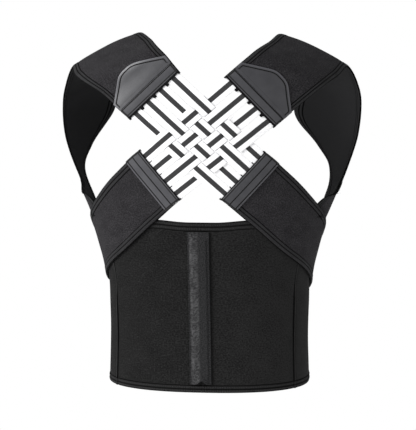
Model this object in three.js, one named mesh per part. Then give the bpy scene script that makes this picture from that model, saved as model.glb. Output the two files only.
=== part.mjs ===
import * as THREE from "three";

// Worn vest seen from the wearer's back: -Y is the back, +Y the chest, +X the right in the photo, +Z up.
// It is laid out from the hem at height 0 and moved at the end so that the shoulder line is the origin.
// All sizes are in millimetres.

// The form under the cloth
const TOTAL_HEIGHT = 456;
const SHOULDER_HALF_WIDTH = 198;
const WAIST_HALF_WIDTH = 128;
const WAIST_HALF_DEPTH = 95;
const FORM_SQUARENESS = 2.4;

// Cloth and the gap that is kept between pieces
const CLOTH = 3;
const GAP = 0.3;
const LAYER_GAP = 0.6;
const EDGE_GAP = 0.6;

// Belt
const BELT_HEIGHT = 219.5;
const BELT_SAG = 3;
const BELT_FRONT_DROP = 39;
const HEM_BINDING = 10;
const TOP_BINDING = 11.5;
const WELT_WIDTH = 4.5;
const WELT_RISE = 0.8;
const SLEEVE_WIDTH = 29;
const SLEEVE_SKIN = 1.4;
const SLEEVE_HOLLOW = 2;
const SLEEVE_HEM = 3;
const SLEEVE_LEAN = 3;
const SLEEVE_SHIFT = 1.4;
const HOOK_TAPE = 1.2;

// Straps and their bindings, as shares of the strap's width
const BINDING_SHARE = 0.1;
const SLIT_SHARE = 0.005;

// Elastic bands and the leather on the strap ends
const BAND_WIDTH = 18.8;
const BAND_THICKNESS = 1.2;
const BAND_COUNT = 4;
const BAND_TUCK = 9.5;
const WEAVE_RISE = 0.95;
const LEATHER = 1.4;
const STRAP_TIP = 3.5;
const END_STRIP = 12.5;
const LOWER_STRIP = 22.5;
const PAD_REACH = 48;
const LEATHER_STEP = 11;
const LEATHER_SLOPE = 7;

// Half width and half depth of the form by height, as shares of the waist's; height as a share of TOTAL_HEIGHT
const FORM_PROFILE = [
  { height: 0.0, width: 1.012, depth: 1.0 },
  { height: 0.13, width: 1.0, depth: 0.995 },
  { height: 0.22, width: 1.004, depth: 1.005 },
  { height: 0.316, width: 1.02, depth: 1.026 },
  { height: 0.423, width: 1.113, depth: 1.053 },
  { height: 0.533, width: 1.266, depth: 1.084 },
  { height: 0.607, width: 1.405, depth: 1.106 },
  { height: 0.655, width: 1.478, depth: 1.118 },
  { height: 0.71, width: 1.53, depth: 1.132 },
  { height: 0.792, width: 1.555, depth: 1.147 },
  { height: 1.0, width: 1.555, depth: 1.147 },
];

// Corners of the straps' ends at the pads, and two spots of each shoulder strap above its pad: across as a share of
// SHOULDER_HALF_WIDTH, height as a share of TOTAL_HEIGHT. The worn vest hangs a little lower on the right.
// neckShift is what a side's strap adds to the neck edge in the first rows of OVER_SHOULDER.
const PAD_CORNERS = {
  right: {
    aboveNeck: { across: 0.303, height: 0.927 },
    aboveArm: { across: 0.718, height: 0.83 },
    neckShift: [{ x: 0.0, z: 0.002 }],
    upperNeck: { across: 0.158, height: 0.875 },
    upperArm: { across: 0.464, height: 0.739 },
    lowerTop: { across: 0.397, height: 0.668 },
    lowerFoot: { across: 0.122, height: 0.536 },
  },
  left: {
    aboveNeck: { across: 0.222, height: 0.929 },
    aboveArm: { across: 0.657, height: 0.83 },
    neckShift: [{ x: -0.055, z: 0.011 }, { x: -0.01, z: 0.005 }],
    upperNeck: { across: 0.14, height: 0.887 },
    upperArm: { across: 0.457, height: 0.76 },
    lowerTop: { across: 0.391, height: 0.671 },
    lowerFoot: { across: 0.134, height: 0.536 },
  },
};

// Shoulder strap over the shoulder: x as a share of SHOULDER_HALF_WIDTH, y as a share of WAIST_HALF_DEPTH,
// z as a share of TOTAL_HEIGHT, bulge as a share of the strap's width, hold as how much it lies on the form
const OVER_SHOULDER = [
  { armX: 0.843, armY: -0.55, armZ: 0.874, neckX: 0.405, neckY: -0.6, neckZ: 0.966, bulge: 0.045, hold: 0 },
  { armX: 0.914, armY: -0.1, armZ: 0.9, neckX: 0.464, neckY: -0.1, neckZ: 0.993, bulge: 0.04, hold: 0 },
  { armX: 0.972, armY: 0.1, armZ: 0.857, neckX: 0.49, neckY: 0.34, neckZ: 0.957, bulge: 0.09, hold: 0 },
  { armX: 1.0, armY: 0.21, armZ: 0.792, neckX: 0.555, neckY: 0.73, neckZ: 0.874, bulge: 0.13, hold: 0.3 },
];

// Shoulder strap down the chest and under the arm: turn from the back centre (0) to the front centre (1)
const UNDER_ARM = [
  { armTurn: 0.55, armHeight: 0.71, neckTurn: 0.807, neckHeight: 0.777 },
  { armTurn: 0.548, armHeight: 0.62, neckTurn: 0.718, neckHeight: 0.672 },
  { armTurn: 0.52, armHeight: 0.57, neckTurn: 0.643, neckHeight: 0.612 },
  { armTurn: 0.44, armHeight: 0.543, neckTurn: 0.603, neckHeight: 0.56 },
  { armTurn: 0.34, armHeight: 0.54, neckTurn: 0.592, neckHeight: 0.515 },
  { armTurn: 0.245, armHeight: 0.482, neckTurn: 0.58, neckHeight: 0.468 },
];

// The row of OVER_SHOULDER at the top of the shoulder, and the stations of a strap before that table's first row
const RIDGE_ROW = 1;
const PAD_STATIONS = 3;

// How far the chest side of the straps is pulled to one side, as a turn, and where that pull comes in:
// between two turns, and below two heights as shares of TOTAL_HEIGHT
const FRONT_PULL = 0.042;
const FRONT_PULL_ZONE = { fromTurn: 0.5, toTurn: 0.64, fullHeight: 0.72, noHeight: 0.95 };

// Lower strap from the pad to its end at the front: turn as above, height as a share of BELT_HEIGHT
const ROUND_THE_SIDE = [
  { topTurn: 0.18, topHeight: 1.26, footTurn: 0.095, footHeight: 0.995 },
  { topTurn: 0.297, topHeight: 1.107, footTurn: 0.22, footHeight: 0.818 },
  { topTurn: 0.465, topHeight: 0.955, footTurn: 0.4, footHeight: 0.668 },
  { topTurn: 0.56, topHeight: 0.86, footTurn: 0.54, footHeight: 0.56 },
  { topTurn: 0.67, topHeight: 0.775, footTurn: 0.66, footHeight: 0.485 },
  { topTurn: 0.78, topHeight: 0.71, footTurn: 0.78, footHeight: 0.44 },
];

// Outline of the upper pads: how far they reach along the strap, as a share of PAD_REACH
const PAD_OUTLINE = [
  { across: 0.0, reach: 0.52 },
  { across: 0.34, reach: 0.96 },
  { across: 0.42, reach: 1.0 },
  { across: 0.56, reach: 1.0 },
  { across: 0.64, reach: 0.95 },
  { across: 1.0, reach: 0.5 },
];

// Turns between which the belt's top edge rises out of its sag at the back, and falls towards the front
const SAG_ZONE = { from: 0.02, to: 0.11 };
const DROP_ZONE = { from: 0.38, to: 0.92 };

// Heights between which a welt goes flat under the lower strap, as shares of BELT_HEIGHT
const WELT_FLAT_ZONE = { from: 0.5, to: 0.62 };

// Turns at which the belt's pieces meet
const SEAM_TURN = 0.322;
const FLAP_END_TURN = 1.11;
const RAMP_START_TURN = 0.81;
const RAMP_END_TURN = 0.87;
const TAPE_TURN = 0.91;

// Layers, as offsets from the form
const STRAP_BASE = CLOTH + LAYER_GAP;
const STRAP_FACE = STRAP_BASE + CLOTH;
const STRAP_MIDDLE = STRAP_BASE + CLOTH / 2;
const BAND_LEVEL = STRAP_FACE + GAP + BAND_THICKNESS / 2;
const LEATHER_OVER_BANDS = GAP + BAND_THICKNESS + GAP;
const FLAP_LIFT = CLOTH + GAP + HOOK_TAPE + GAP;

const clamp = (value, low, high) => Math.min(Math.max(value, low), high);
const mix = (from, to, share) => from + (to - from) * share;
const power = (value, exponent) => Math.sign(value) * Math.abs(value) ** exponent;
const ease = (low, high, value) => THREE.MathUtils.smoothstep(value, low, high);

// Reads column `name` of a table at `at`, smoothly between the rows
function reading(rows, place, name, at) {
  const last = rows.length - 1;
  let row = 0;
  while (row < last - 1 && at > rows[row + 1][place]) row += 1;
  const slope = (index) => {
    const low = rows[Math.max(index - 1, 0)];
    const high = rows[Math.min(index + 1, last)];
    return (high[name] - low[name]) / (high[place] - low[place]);
  };
  const span = rows[row + 1][place] - rows[row][place];
  const t = clamp((at - rows[row][place]) / span, 0, 1);
  const rise = rows[row + 1][name] - rows[row][name];
  const start = slope(row) * span;
  const end = slope(row + 1) * span;
  return rows[row][name] + t * (start + t * (3 * rise - 2 * start - end + t * (start + end - 2 * rise)));
}

// Reads column `name` of a table at `at`, straight between the rows
function straightReading(rows, place, name, at) {
  let row = 0;
  while (row < rows.length - 2 && at > rows[row + 1][place]) row += 1;
  const span = rows[row + 1][place] - rows[row][place];
  return mix(rows[row][name], rows[row + 1][name], clamp((at - rows[row][place]) / span, 0, 1));
}

function formHalves(height) {
  const share = height / TOTAL_HEIGHT;
  return {
    width: WAIST_HALF_WIDTH * reading(FORM_PROFILE, "height", "width", share),
    depth: WAIST_HALF_DEPTH * reading(FORM_PROFILE, "height", "depth", share),
  };
}

// Direction in which the layers on the form lie over each other
function outward(turn) {
  const angle = turn * Math.PI;
  return new THREE.Vector3(power(Math.sin(angle), 2 / FORM_SQUARENESS), -power(Math.cos(angle), 2 / FORM_SQUARENESS), 0);
}

// Point at an offset from the form; turn is 0 at the back centre and 1 at the front centre, negative on the left
function onForm(turn, height, offset) {
  const { width, depth } = formHalves(height);
  const way = outward(turn);
  return new THREE.Vector3((width + offset) * way.x, (depth + offset) * way.y, height);
}

// Turn of a point that need not lie on the form
function turnOf(point, offset) {
  const { width, depth } = formHalves(point.z);
  const sine = power(point.x / (width + offset), FORM_SQUARENESS / 2);
  const cosine = power(-point.y / (depth + offset), FORM_SQUARENESS / 2);
  return Math.atan2(sine, cosine) / Math.PI;
}

// Turn of a point of the back, from its place across
function backTurn(across, height) {
  const { width } = formHalves(height);
  const sine = power(clamp(across / (width + STRAP_FACE), -1, 1), FORM_SQUARENESS / 2);
  return Math.asin(sine) / Math.PI;
}

function onBack(across, height, offset) {
  return onForm(backTurn(across, height), height, offset);
}

function evenly(count) {
  return Array.from({ length: count + 1 }, (unused, index) => index / count);
}

// Closed sheet between surface(u, v, 0) and surface(u, v, 1), with walls along its four edges
function sheet(us, vs, surface) {
  const rows = us.length;
  const columns = vs.length;
  const points = [];
  for (const side of [0, 1]) {
    for (const u of us) {
      for (const v of vs) {
        points.push(surface(u, v, side));
      }
    }
  }
  const at = (side, row, column) => side * rows * columns + row * columns + column;
  const triangles = [];
  const quad = (a, b, c, d) => {
    const even = points[a].distanceToSquared(points[c]) < points[b].distanceToSquared(points[d]);
    if (even) triangles.push(a, b, c, a, c, d);
    else triangles.push(a, b, d, b, c, d);
  };
  for (let row = 0; row < rows - 1; row += 1) {
    for (let column = 0; column < columns - 1; column += 1) {
      quad(at(1, row, column), at(1, row + 1, column), at(1, row + 1, column + 1), at(1, row, column + 1));
      quad(at(0, row, column), at(0, row, column + 1), at(0, row + 1, column + 1), at(0, row + 1, column));
    }
  }
  for (let row = 0; row < rows - 1; row += 1) {
    quad(at(0, row, 0), at(0, row + 1, 0), at(1, row + 1, 0), at(1, row, 0));
    const far = columns - 1;
    quad(at(0, row + 1, far), at(0, row, far), at(1, row, far), at(1, row + 1, far));
  }
  for (let column = 0; column < columns - 1; column += 1) {
    quad(at(0, 0, column + 1), at(0, 0, column), at(1, 0, column), at(1, 0, column + 1));
    const far = rows - 1;
    quad(at(0, far, column), at(0, far, column + 1), at(1, far, column + 1), at(1, far, column));
  }
  let volume = 0;
  for (let corner = 0; corner < triangles.length; corner += 3) {
    const [a, b, c] = [0, 1, 2].map((step) => points[triangles[corner + step]]);
    volume += a.dot(new THREE.Vector3().crossVectors(b, c));
  }
  if (volume < 0) triangles.reverse();
  const geometry = new THREE.BufferGeometry();
  geometry.setAttribute("position", new THREE.Float32BufferAttribute(points.flatMap((p) => p.toArray()), 3));
  geometry.setIndex(triangles);
  geometry.computeVertexNormals();
  return geometry;
}

const brace = new THREE.Group();
brace.name = "back_support_brace";

const FINISHES = {
  cloth: { color: 0x26272a, roughness: 0.95, metalness: 0 },
  binding: { color: 0x303135, roughness: 0.85, metalness: 0 },
  lining: { color: 0x1d1e20, roughness: 0.95, metalness: 0 },
  leather: { color: 0x4a4b4f, roughness: 0.5, metalness: 0 },
  leatherLight: { color: 0x5c5d61, roughness: 0.5, metalness: 0 },
  elastic: { color: 0xeeeeec, roughness: 0.8, metalness: 0 },
};

function add(name, finish, geometry) {
  const mesh = new THREE.Mesh(geometry, new THREE.MeshStandardMaterial({ name: finish, ...FINISHES[finish] }));
  mesh.name = name;
  brace.add(mesh);
}

// Belt

function beltTop(turn) {
  const sag = BELT_SAG * (1 - ease(SAG_ZONE.from, SAG_ZONE.to, Math.abs(turn)));
  const drop = BELT_FRONT_DROP * ease(DROP_ZONE.from, DROP_ZONE.to, Math.min(Math.abs(turn), 2 - Math.abs(turn)));
  return BELT_HEIGHT - sag - drop;
}

// The flap on the right rises over the end of the other one
function flapLift(turn) {
  return FLAP_LIFT * ease(RAMP_START_TURN, RAMP_END_TURN, turn);
}

function beltPiece(name, finish, turns, heights, low, high) {
  add(name, finish, sheet(turns, heights, (turn, share, side) => {
    const height = mix(low(turn), high(turn), share);
    return onForm(turn, height, flapLift(turn) + side * CLOTH);
  }));
}

const hemTop = () => HEM_BINDING;
const clothFoot = () => HEM_BINDING + GAP;
const clothTop = (turn) => beltTop(turn) - TOP_BINDING - GAP;
const bindingFoot = (turn) => beltTop(turn) - TOP_BINDING;
const hem = () => 0;

// Turn that a length of girth takes up near the side seams
const girthPerTurn = onForm(SEAM_TURN - 0.01, BELT_HEIGHT / 2, 0).distanceTo(onForm(SEAM_TURN + 0.01, BELT_HEIGHT / 2, 0)) / 0.02;
const weltHalfTurn = WELT_WIDTH / 2 / girthPerTurn;
const slitTurn = GAP / girthPerTurn;

const panelEdge = SEAM_TURN - weltHalfTurn - slitTurn;
const flapEdge = SEAM_TURN + weltHalfTurn + slitTurn;
const panelTurns = evenly(20).map((share) => mix(-panelEdge, panelEdge, share));
const rampTurns = [RAMP_START_TURN, mix(RAMP_START_TURN, RAMP_END_TURN, 0.5), RAMP_END_TURN];
const rightTurns = [
  ...evenly(13).slice(0, -1).map((share) => mix(flapEdge, RAMP_START_TURN, share)),
  ...rampTurns,
  ...evenly(7).slice(1).map((share) => mix(RAMP_END_TURN, FLAP_END_TURN, share)),
];
const leftTurns = evenly(20).map((share) => -mix(flapEdge, FLAP_END_TURN, share));

const clothRows = [0, 0.24, 0.43, 0.53, 0.62, 0.7, 0.78, 0.86, 0.93, 1];

for (const [name, turns] of [["back", panelTurns], ["right", rightTurns], ["left", leftTurns]]) {
  const piece = name === "back" ? "back_panel" : `${name}_flap`;
  beltPiece(piece, "cloth", turns, clothRows, clothFoot, clothTop);
  beltPiece(`${name}_hem_binding`, "binding", turns, [0, 1], hem, hemTop);
  beltPiece(`${name}_top_binding`, "binding", turns, [0, 1], bindingFoot, beltTop);
}

// The welts have rows where the belt's pieces have theirs, and are raised below the lower straps only
const weltRows = [hem, hemTop, ...clothRows.map((share) => (turn) => mix(clothFoot(turn), clothTop(turn), share)), bindingFoot, beltTop];
for (const side of [1, -1]) {
  const name = side > 0 ? "right" : "left";
  const rise = (height) => WELT_RISE * (1 - ease(WELT_FLAT_ZONE.from, WELT_FLAT_ZONE.to, height / BELT_HEIGHT));
  add(`${name}_side_welt`, "binding", sheet(weltRows, [-1, 1], (row, edge, face) => {
    const turn = side * (SEAM_TURN + edge * weltHalfTurn);
    const height = row(turn);
    return onForm(turn, height, face * (CLOTH + rise(height)));
  }));
}

// The sleeve's hollow is between it and the back panel: closed at the top and along both sides, open at the foot
const SLEEVE_ACROSS = [-0.5, -0.38, -0.3, 0, 0.3, 0.38, 0.5];
const SLEEVE_UP = [0, 0.05, 0.3, 0.5, 0.7, 0.94, 0.97, 1];
add("spine_sleeve", "binding", sheet(SLEEVE_UP, SLEEVE_ACROSS, (up, across, side) => {
  const height = mix(HEM_BINDING + SLEEVE_HEM, beltTop(0) - TOP_BINDING - SLEEVE_HEM, up);
  const hollow = SLEEVE_HOLLOW * (1 - ease(0.3, 0.38, Math.abs(across))) * (1 - ease(0.94, 0.97, up));
  return onBack(across * SLEEVE_WIDTH - SLEEVE_SHIFT - up * SLEEVE_LEAN, height, CLOTH + GAP + hollow + side * SLEEVE_SKIN);
}));

add("hook_tape", "lining", sheet(evenly(8), evenly(3), (across, up, side) => {
  const turn = mix(TAPE_TURN, 2 - TAPE_TURN, across);
  const height = mix(HEM_BINDING * 2, beltTop(turn) - TOP_BINDING * 2, up);
  return onForm(turn, height, CLOTH + GAP + side * HOOK_TAPE);
}));

// Straps

// Middle surface and layer direction of a shoulder strap: s counts the stations, v runs from arm side to neck side
function shoulderStrap(side, corners) {
  const spot = (corner) => ({ x: corner.across * SHOULDER_HALF_WIDTH, z: corner.height * TOTAL_HEIGHT });
  const neckEnd = spot(corners.upperNeck);
  const armEnd = spot(corners.upperArm);
  const neckAbove = spot(corners.aboveNeck);
  const armAbove = spot(corners.aboveArm);
  const width = Math.hypot(neckEnd.x - armEnd.x, neckEnd.z - armEnd.z);
  const along = { x: (neckEnd.z - armEnd.z) / width, z: (armEnd.x - neckEnd.x) / width };
  const between = (from, to, share) => ({ x: mix(from.x, to.x, share), z: mix(from.z, to.z, share) });
  const tip = (end) => ({ x: end.x - STRAP_TIP * along.x, z: end.z - STRAP_TIP * along.z });
  const back = ({ x, z }) => onBack(x, z, STRAP_MIDDLE);
  const stations = [
    [tip(armEnd), tip(neckEnd)],
    [between(armEnd, armAbove, 0.5), between(neckEnd, neckAbove, 0.5)],
    [armAbove, neckAbove],
  ].map(([arm, neck]) => ({ arm: back(arm), middle: back(between(arm, neck, 0.5)), neck: back(neck), hold: 1 }));
  const place = (x, y, z) => new THREE.Vector3(x * SHOULDER_HALF_WIDTH, y * WAIST_HALF_DEPTH, z * TOTAL_HEIGHT);
  const over = OVER_SHOULDER.map((row, index) => {
    const shift = corners.neckShift[index] ?? { x: 0, z: 0 };
    return {
      arm: place(row.armX, row.armY, row.armZ),
      neck: place(row.neckX + shift.x, row.neckY, row.neckZ + shift.z),
      bulge: row.bulge,
      hold: row.hold,
    };
  });
  for (const row of UNDER_ARM) {
    over.push({
      arm: onForm(row.armTurn, row.armHeight * TOTAL_HEIGHT, CLOTH / 2),
      neck: onForm(row.neckTurn, row.neckHeight * TOTAL_HEIGHT, CLOTH / 2),
      bulge: 0,
      hold: 1,
    });
  }
  over.forEach((row, index) => {
    const before = index > 0 ? over[index - 1] : stations[2];
    const after = over[Math.min(index + 1, over.length - 1)];
    const heading = new THREE.Vector3().addVectors(after.arm, after.neck).sub(before.arm).sub(before.neck);
    const across = new THREE.Vector3().subVectors(row.neck, row.arm);
    const out = new THREE.Vector3().crossVectors(heading, across).normalize();
    const middle = new THREE.Vector3().addVectors(row.arm, row.neck).multiplyScalar(0.5);
    middle.addScaledVector(out, row.bulge * across.length());
    if (row.hold === 1) middle.copy(onForm(turnOf(middle, CLOTH / 2), middle.z, CLOTH / 2));
    stations.push({ ...row, middle });
  });
  const last = stations.length - 1;
  const curves = ["arm", "middle", "neck"].map((edge) => (
    new THREE.CatmullRomCurve3(stations.map((station) => station[edge]), false, "centripetal")
  ));
  const holdAt = (s) => {
    const low = Math.min(Math.floor(s), last - 1);
    return mix(stations[low].hold, stations[low + 1].hold, ease(0, 1, s - low));
  };
  const foot = last - 2;
  const ridgeStation = PAD_STATIONS + RIDGE_ROW;
  const middle = (s, v) => {
    const [arm, centre, neck] = curves.map((curve) => curve.getPoint(clamp(s / last, 0, 1)));
    const point = arm.multiplyScalar((1 - v) * (1 - 2 * v));
    point.addScaledVector(centre, 4 * v * (1 - v)).addScaledVector(neck, v * (2 * v - 1));
    const hold = holdAt(s);
    if (s < ridgeStation) return point.lerp(onBack(point.x, point.z, STRAP_MIDDLE), hold);
    const turn = turnOf(point, CLOTH / 2);
    point.lerp(onForm(turn, point.z, CLOTH / 2), hold);
    const height = point.z;
    const { fromTurn, toTurn, fullHeight, noHeight } = FRONT_PULL_ZONE;
    const pull = side * FRONT_PULL * ease(fromTurn, toTurn, turn) * (1 - ease(fullHeight, noHeight, height / TOTAL_HEIGHT));
    point.add(onForm(turn + pull, height, CLOTH / 2).sub(onForm(turn, height, CLOTH / 2)));
    const onBelt = ease(foot, last, s) ** 2;
    if (onBelt === 0) return point;
    return onForm(turn + pull, mix(height, beltTop(turn + pull) + EDGE_GAP, onBelt), CLOTH / 2);
  };
  const step = 0.02;
  const surface = (s, v, offset) => {
    const point = middle(s, v);
    const ahead = middle(Math.min(s + step, last), v).sub(middle(Math.max(s - step, 0), v));
    const across = middle(s, Math.min(v + step, 1)).sub(middle(s, Math.max(v - step, 0)));
    const way = new THREE.Vector3().crossVectors(ahead, across).normalize();
    const turn = turnOf(point, s < ridgeStation ? STRAP_MIDDLE : CLOTH / 2);
    way.lerp(outward(turn), holdAt(s));
    point.addScaledVector(way, offset);
    point.x *= side;
    return point;
  };
  return { surface, last };
}

function lowerStrap(side, corners) {
  const corner = (spot) => ({ x: spot.across * SHOULDER_HALF_WIDTH, z: spot.height * TOTAL_HEIGHT });
  const top = corner(corners.lowerTop);
  const bottom = corner(corners.lowerFoot);
  const width = Math.hypot(top.x - bottom.x, top.z - bottom.z);
  const along = { x: (top.z - bottom.z) / width, z: (bottom.x - top.x) / width };
  const end = (spot, reach) => {
    const height = spot.z + reach * along.z;
    return { turn: backTurn(spot.x + reach * along.x, height), height };
  };
  const stations = [
    { top: end(top, -STRAP_TIP), foot: end(bottom, -STRAP_TIP) },
    ...ROUND_THE_SIDE.map((row) => ({
      top: { turn: row.topTurn, height: row.topHeight * BELT_HEIGHT },
      foot: { turn: row.footTurn, height: row.footHeight * BELT_HEIGHT },
    })),
  ];
  const last = stations.length - 1;
  const curves = ["top", "foot"].map((edge) => {
    const spots = stations.map((station) => new THREE.Vector3(station[edge].turn * girthPerTurn, 0, station[edge].height));
    return new THREE.CatmullRomCurve3(spots, false, "centripetal");
  });
  const surface = (s, v, offset) => {
    const [upper, lower] = curves.map((curve) => curve.getPoint(clamp(s / last, 0, 1)));
    const spot = upper.lerp(lower, v);
    const point = onForm(spot.x / girthPerTurn, spot.z, STRAP_MIDDLE + offset);
    point.x *= side;
    return point;
  };
  return { surface, last };
}

// Station at a distance from the strap's end, along the line v
function stationAt(strap, v, distance) {
  const step = 0.05;
  let walked = 0;
  let s = 0;
  let here = strap.surface(0, v, 0);
  while (s < strap.last) {
    const next = strap.surface(s + step, v, 0);
    const stride = here.distanceTo(next);
    if (walked + stride >= distance) return s + step * (distance - walked) / stride;
    walked += stride;
    here = next;
    s += step;
  }
  return strap.last;
}

function strapPieces(name, strap, rows, columns, edges) {
  const stations = evenly(rows).map((share) => share * strap.last);
  const inner = [BINDING_SHARE + SLIT_SHARE, 1 - BINDING_SHARE - SLIT_SHARE];
  const face = (s, v, side) => strap.surface(s, v, (side - 0.5) * CLOTH);
  add(name, "cloth", sheet(stations, evenly(columns).map((share) => mix(...inner, share)), face));
  add(`${name}_${edges[0]}_binding`, "binding", sheet(stations, [0, BINDING_SHARE], face));
  add(`${name}_${edges[1]}_binding`, "binding", sheet(stations, [1 - BINDING_SHARE, 1], face));
}

// Leather on a strap's end: it lies over the bands' ends, then steps down to the strap
function leather(name, finish, strap, from, to, rows, columns) {
  add(name, finish, sheet(evenly(rows), columns, (share, v, side) => {
    const distance = mix(from, to(v), share);
    const station = stationAt(strap, v, STRAP_TIP + distance);
    const above = mix(LEATHER_OVER_BANDS, GAP, ease(LEATHER_STEP, LEATHER_STEP + LEATHER_SLOPE, distance));
    return strap.surface(station, v, CLOTH / 2 + above + side * LEATHER);
  }));
}

const padReach = (v) => PAD_REACH * straightReading(PAD_OUTLINE, "across", "reach", v);
const PAD_COLUMNS = [0, 0.17, 0.34, 0.42, 0.49, 0.56, 0.64, 0.82, 1];

for (const side of [1, -1]) {
  const name = side > 0 ? "right" : "left";
  const corners = PAD_CORNERS[name];
  const shoulder = shoulderStrap(side, corners);
  strapPieces(`${name}_shoulder_strap`, shoulder, 36, 5, ["arm", "neck"]);
  leather(`${name}_upper_end_strip`, "leather", shoulder, 0, () => END_STRIP, 2, evenly(8));
  leather(`${name}_upper_pad`, "leather", shoulder, END_STRIP + GAP, padReach, 4, PAD_COLUMNS);
  const lower = lowerStrap(side, corners);
  strapPieces(`${name}_lower_strap`, lower, 27, 4, ["upper", "foot"]);
  leather(`${name}_lower_end_strip`, "leather", lower, 0, () => LOWER_STRIP, 4, evenly(8));
}

// Bands: each runs straight between the same share of two pads' ends

function padPoint(side, neck, arm, share) {
  const corners = PAD_CORNERS[side > 0 ? "right" : "left"];
  const from = corners[neck];
  const to = corners[arm];
  return {
    x: side * mix(from.across, to.across, share) * SHOULDER_HALF_WIDTH,
    z: mix(from.height, to.height, share) * TOTAL_HEIGHT,
  };
}

function bandLine(side, index) {
  const share = (index + 0.5) / BAND_COUNT;
  const from = padPoint(side, "upperNeck", "upperArm", share);
  const to = padPoint(-side, "lowerTop", "lowerFoot", share);
  const length = Math.hypot(to.x - from.x, to.z - from.z);
  return { from, to, length, way: { x: (to.x - from.x) / length, z: (to.z - from.z) / length } };
}

// Where a second line crosses a first one: distance along the first, and the slant of the second to it
function crossing(line, other) {
  const dx = other.from.x - line.from.x;
  const dz = other.from.z - line.from.z;
  const sine = line.way.x * other.way.z - line.way.z * other.way.x;
  const cosine = line.way.x * other.way.x + line.way.z * other.way.z;
  return { at: (dx * other.way.z - dz * other.way.x) / sine, slant: cosine / sine, spread: 1 / Math.abs(sine) };
}

const falling = evenly(BAND_COUNT - 1).map((share, index) => bandLine(-1, index));
const rising = evenly(BAND_COUNT - 1).map((share, index) => bandLine(1, index));

// A band lies level under the leather and rises and dips where it crosses the others; each fold is along their edges
function addBand(name, line, others, index, first) {
  const half = (BAND_WIDTH + GAP) / 2;
  const woven = others.flatMap((other, number) => {
    const { at, slant, spread } = crossing(line, other);
    const level = ((index + number) % 2 === 0 ? first : -first) * WEAVE_RISE;
    return [-half, 0, half].map((shift) => ({ at: at + shift * spread, slant, level }));
  }).sort((a, b) => a.at - b.at);
  const level = (at) => ({ at, slant: 0, level: 0 });
  const knots = [
    level(-BAND_TUCK),
    level(0),
    level(woven[0].at / 2),
    ...woven,
    level(mix(woven[woven.length - 1].at, line.length, 0.5)),
    level(line.length),
    level(line.length + BAND_TUCK),
  ];
  add(name, "elastic", sheet(knots, [-1, 0, 1], (knot, across, side) => {
    const sideways = across * BAND_WIDTH / 2;
    const along = knot.at + knot.slant * sideways;
    const x = line.from.x + along * line.way.x - sideways * line.way.z;
    const z = line.from.z + along * line.way.z + sideways * line.way.x;
    return onBack(x, z, BAND_LEVEL + knot.level + (side - 0.5) * BAND_THICKNESS);
  }));
}

falling.forEach((line, index) => addBand(`falling_band_${index + 1}`, line, rising, index, 1));
rising.forEach((line, index) => addBand(`rising_band_${index + 1}`, line, falling, index, -1));

// The origin is the middle of the line between the tops of the shoulder straps
const ridge = OVER_SHOULDER[RIDGE_ROW];
const originHeight = TOTAL_HEIGHT * (ridge.armZ + ridge.neckZ) / 2;
const originDepth = WAIST_HALF_DEPTH * ridge.armY;
for (const mesh of brace.children) mesh.geometry.translate(0, -originDepth, -originHeight);

export default brace;
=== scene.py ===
"""A worn back support brace of cloth, leather and woven elastic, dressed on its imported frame."""

import logging
import math
from dataclasses import dataclass, field
from enum import Enum
from typing import Callable, NamedTuple

import bmesh
import bpy
import numpy as np
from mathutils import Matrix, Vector


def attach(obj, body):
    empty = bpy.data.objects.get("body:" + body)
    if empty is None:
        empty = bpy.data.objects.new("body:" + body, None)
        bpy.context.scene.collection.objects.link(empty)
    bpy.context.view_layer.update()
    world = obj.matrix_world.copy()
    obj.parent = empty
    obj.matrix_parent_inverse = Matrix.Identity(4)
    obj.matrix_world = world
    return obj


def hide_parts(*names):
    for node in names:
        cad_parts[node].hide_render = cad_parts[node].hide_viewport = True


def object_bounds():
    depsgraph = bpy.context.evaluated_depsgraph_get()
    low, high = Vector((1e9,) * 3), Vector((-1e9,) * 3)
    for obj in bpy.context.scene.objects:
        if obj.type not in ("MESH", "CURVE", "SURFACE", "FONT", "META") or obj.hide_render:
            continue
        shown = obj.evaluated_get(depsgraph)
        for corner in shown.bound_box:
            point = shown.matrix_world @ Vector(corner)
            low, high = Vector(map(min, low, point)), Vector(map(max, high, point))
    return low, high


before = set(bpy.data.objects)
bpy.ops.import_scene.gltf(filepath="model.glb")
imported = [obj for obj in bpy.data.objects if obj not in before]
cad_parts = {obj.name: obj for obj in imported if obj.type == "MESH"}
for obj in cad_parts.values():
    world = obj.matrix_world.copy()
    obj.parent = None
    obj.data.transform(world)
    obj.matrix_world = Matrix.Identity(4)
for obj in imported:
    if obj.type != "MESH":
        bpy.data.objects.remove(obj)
cad_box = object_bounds()

log = logging.getLogger("brace")

Points = np.ndarray
Values = np.ndarray
Surface = Callable[[Values, Values, Values], Points]
Measure = Callable[[Values, Values], tuple[Values, Values]]


def mix(start: Values, end: Values, share: Values) -> Values:
    """Value at a share of the way from start to end."""
    return start + (end - start) * share


def ease(low: float, high: float, value: Values) -> Values:
    """Smooth rise from 0 at low to 1 at high."""
    share = np.clip((np.asarray(value, float) - low) / (high - low), 0, 1)
    return share * share * (3 - 2 * share)


def bell(value: Values, middle: float, spread: float) -> Values:
    """Smooth bump of height 1 round a middle."""
    return np.exp(-(((value - middle) / spread) ** 2))


def signed_power(value: Values, exponent: float) -> Values:
    """Power of the size of a value, with the value's sign."""
    return np.sign(value) * np.abs(value) ** exponent


def unit(vectors: Points) -> Points:
    """The vectors at length 1."""
    return vectors / np.maximum(np.linalg.norm(vectors, axis=-1, keepdims=True), 1e-9)


def lengths_along(points: Points) -> Values:
    """Distance walked to each point of a line."""
    return np.concatenate([[0.0], np.cumsum(np.linalg.norm(np.diff(points, axis=0), axis=1))])


def as_floats(table: Values) -> Values:
    """A table as the flat single-precision row that Blender takes."""
    return table.astype(np.float32).ravel()


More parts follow.
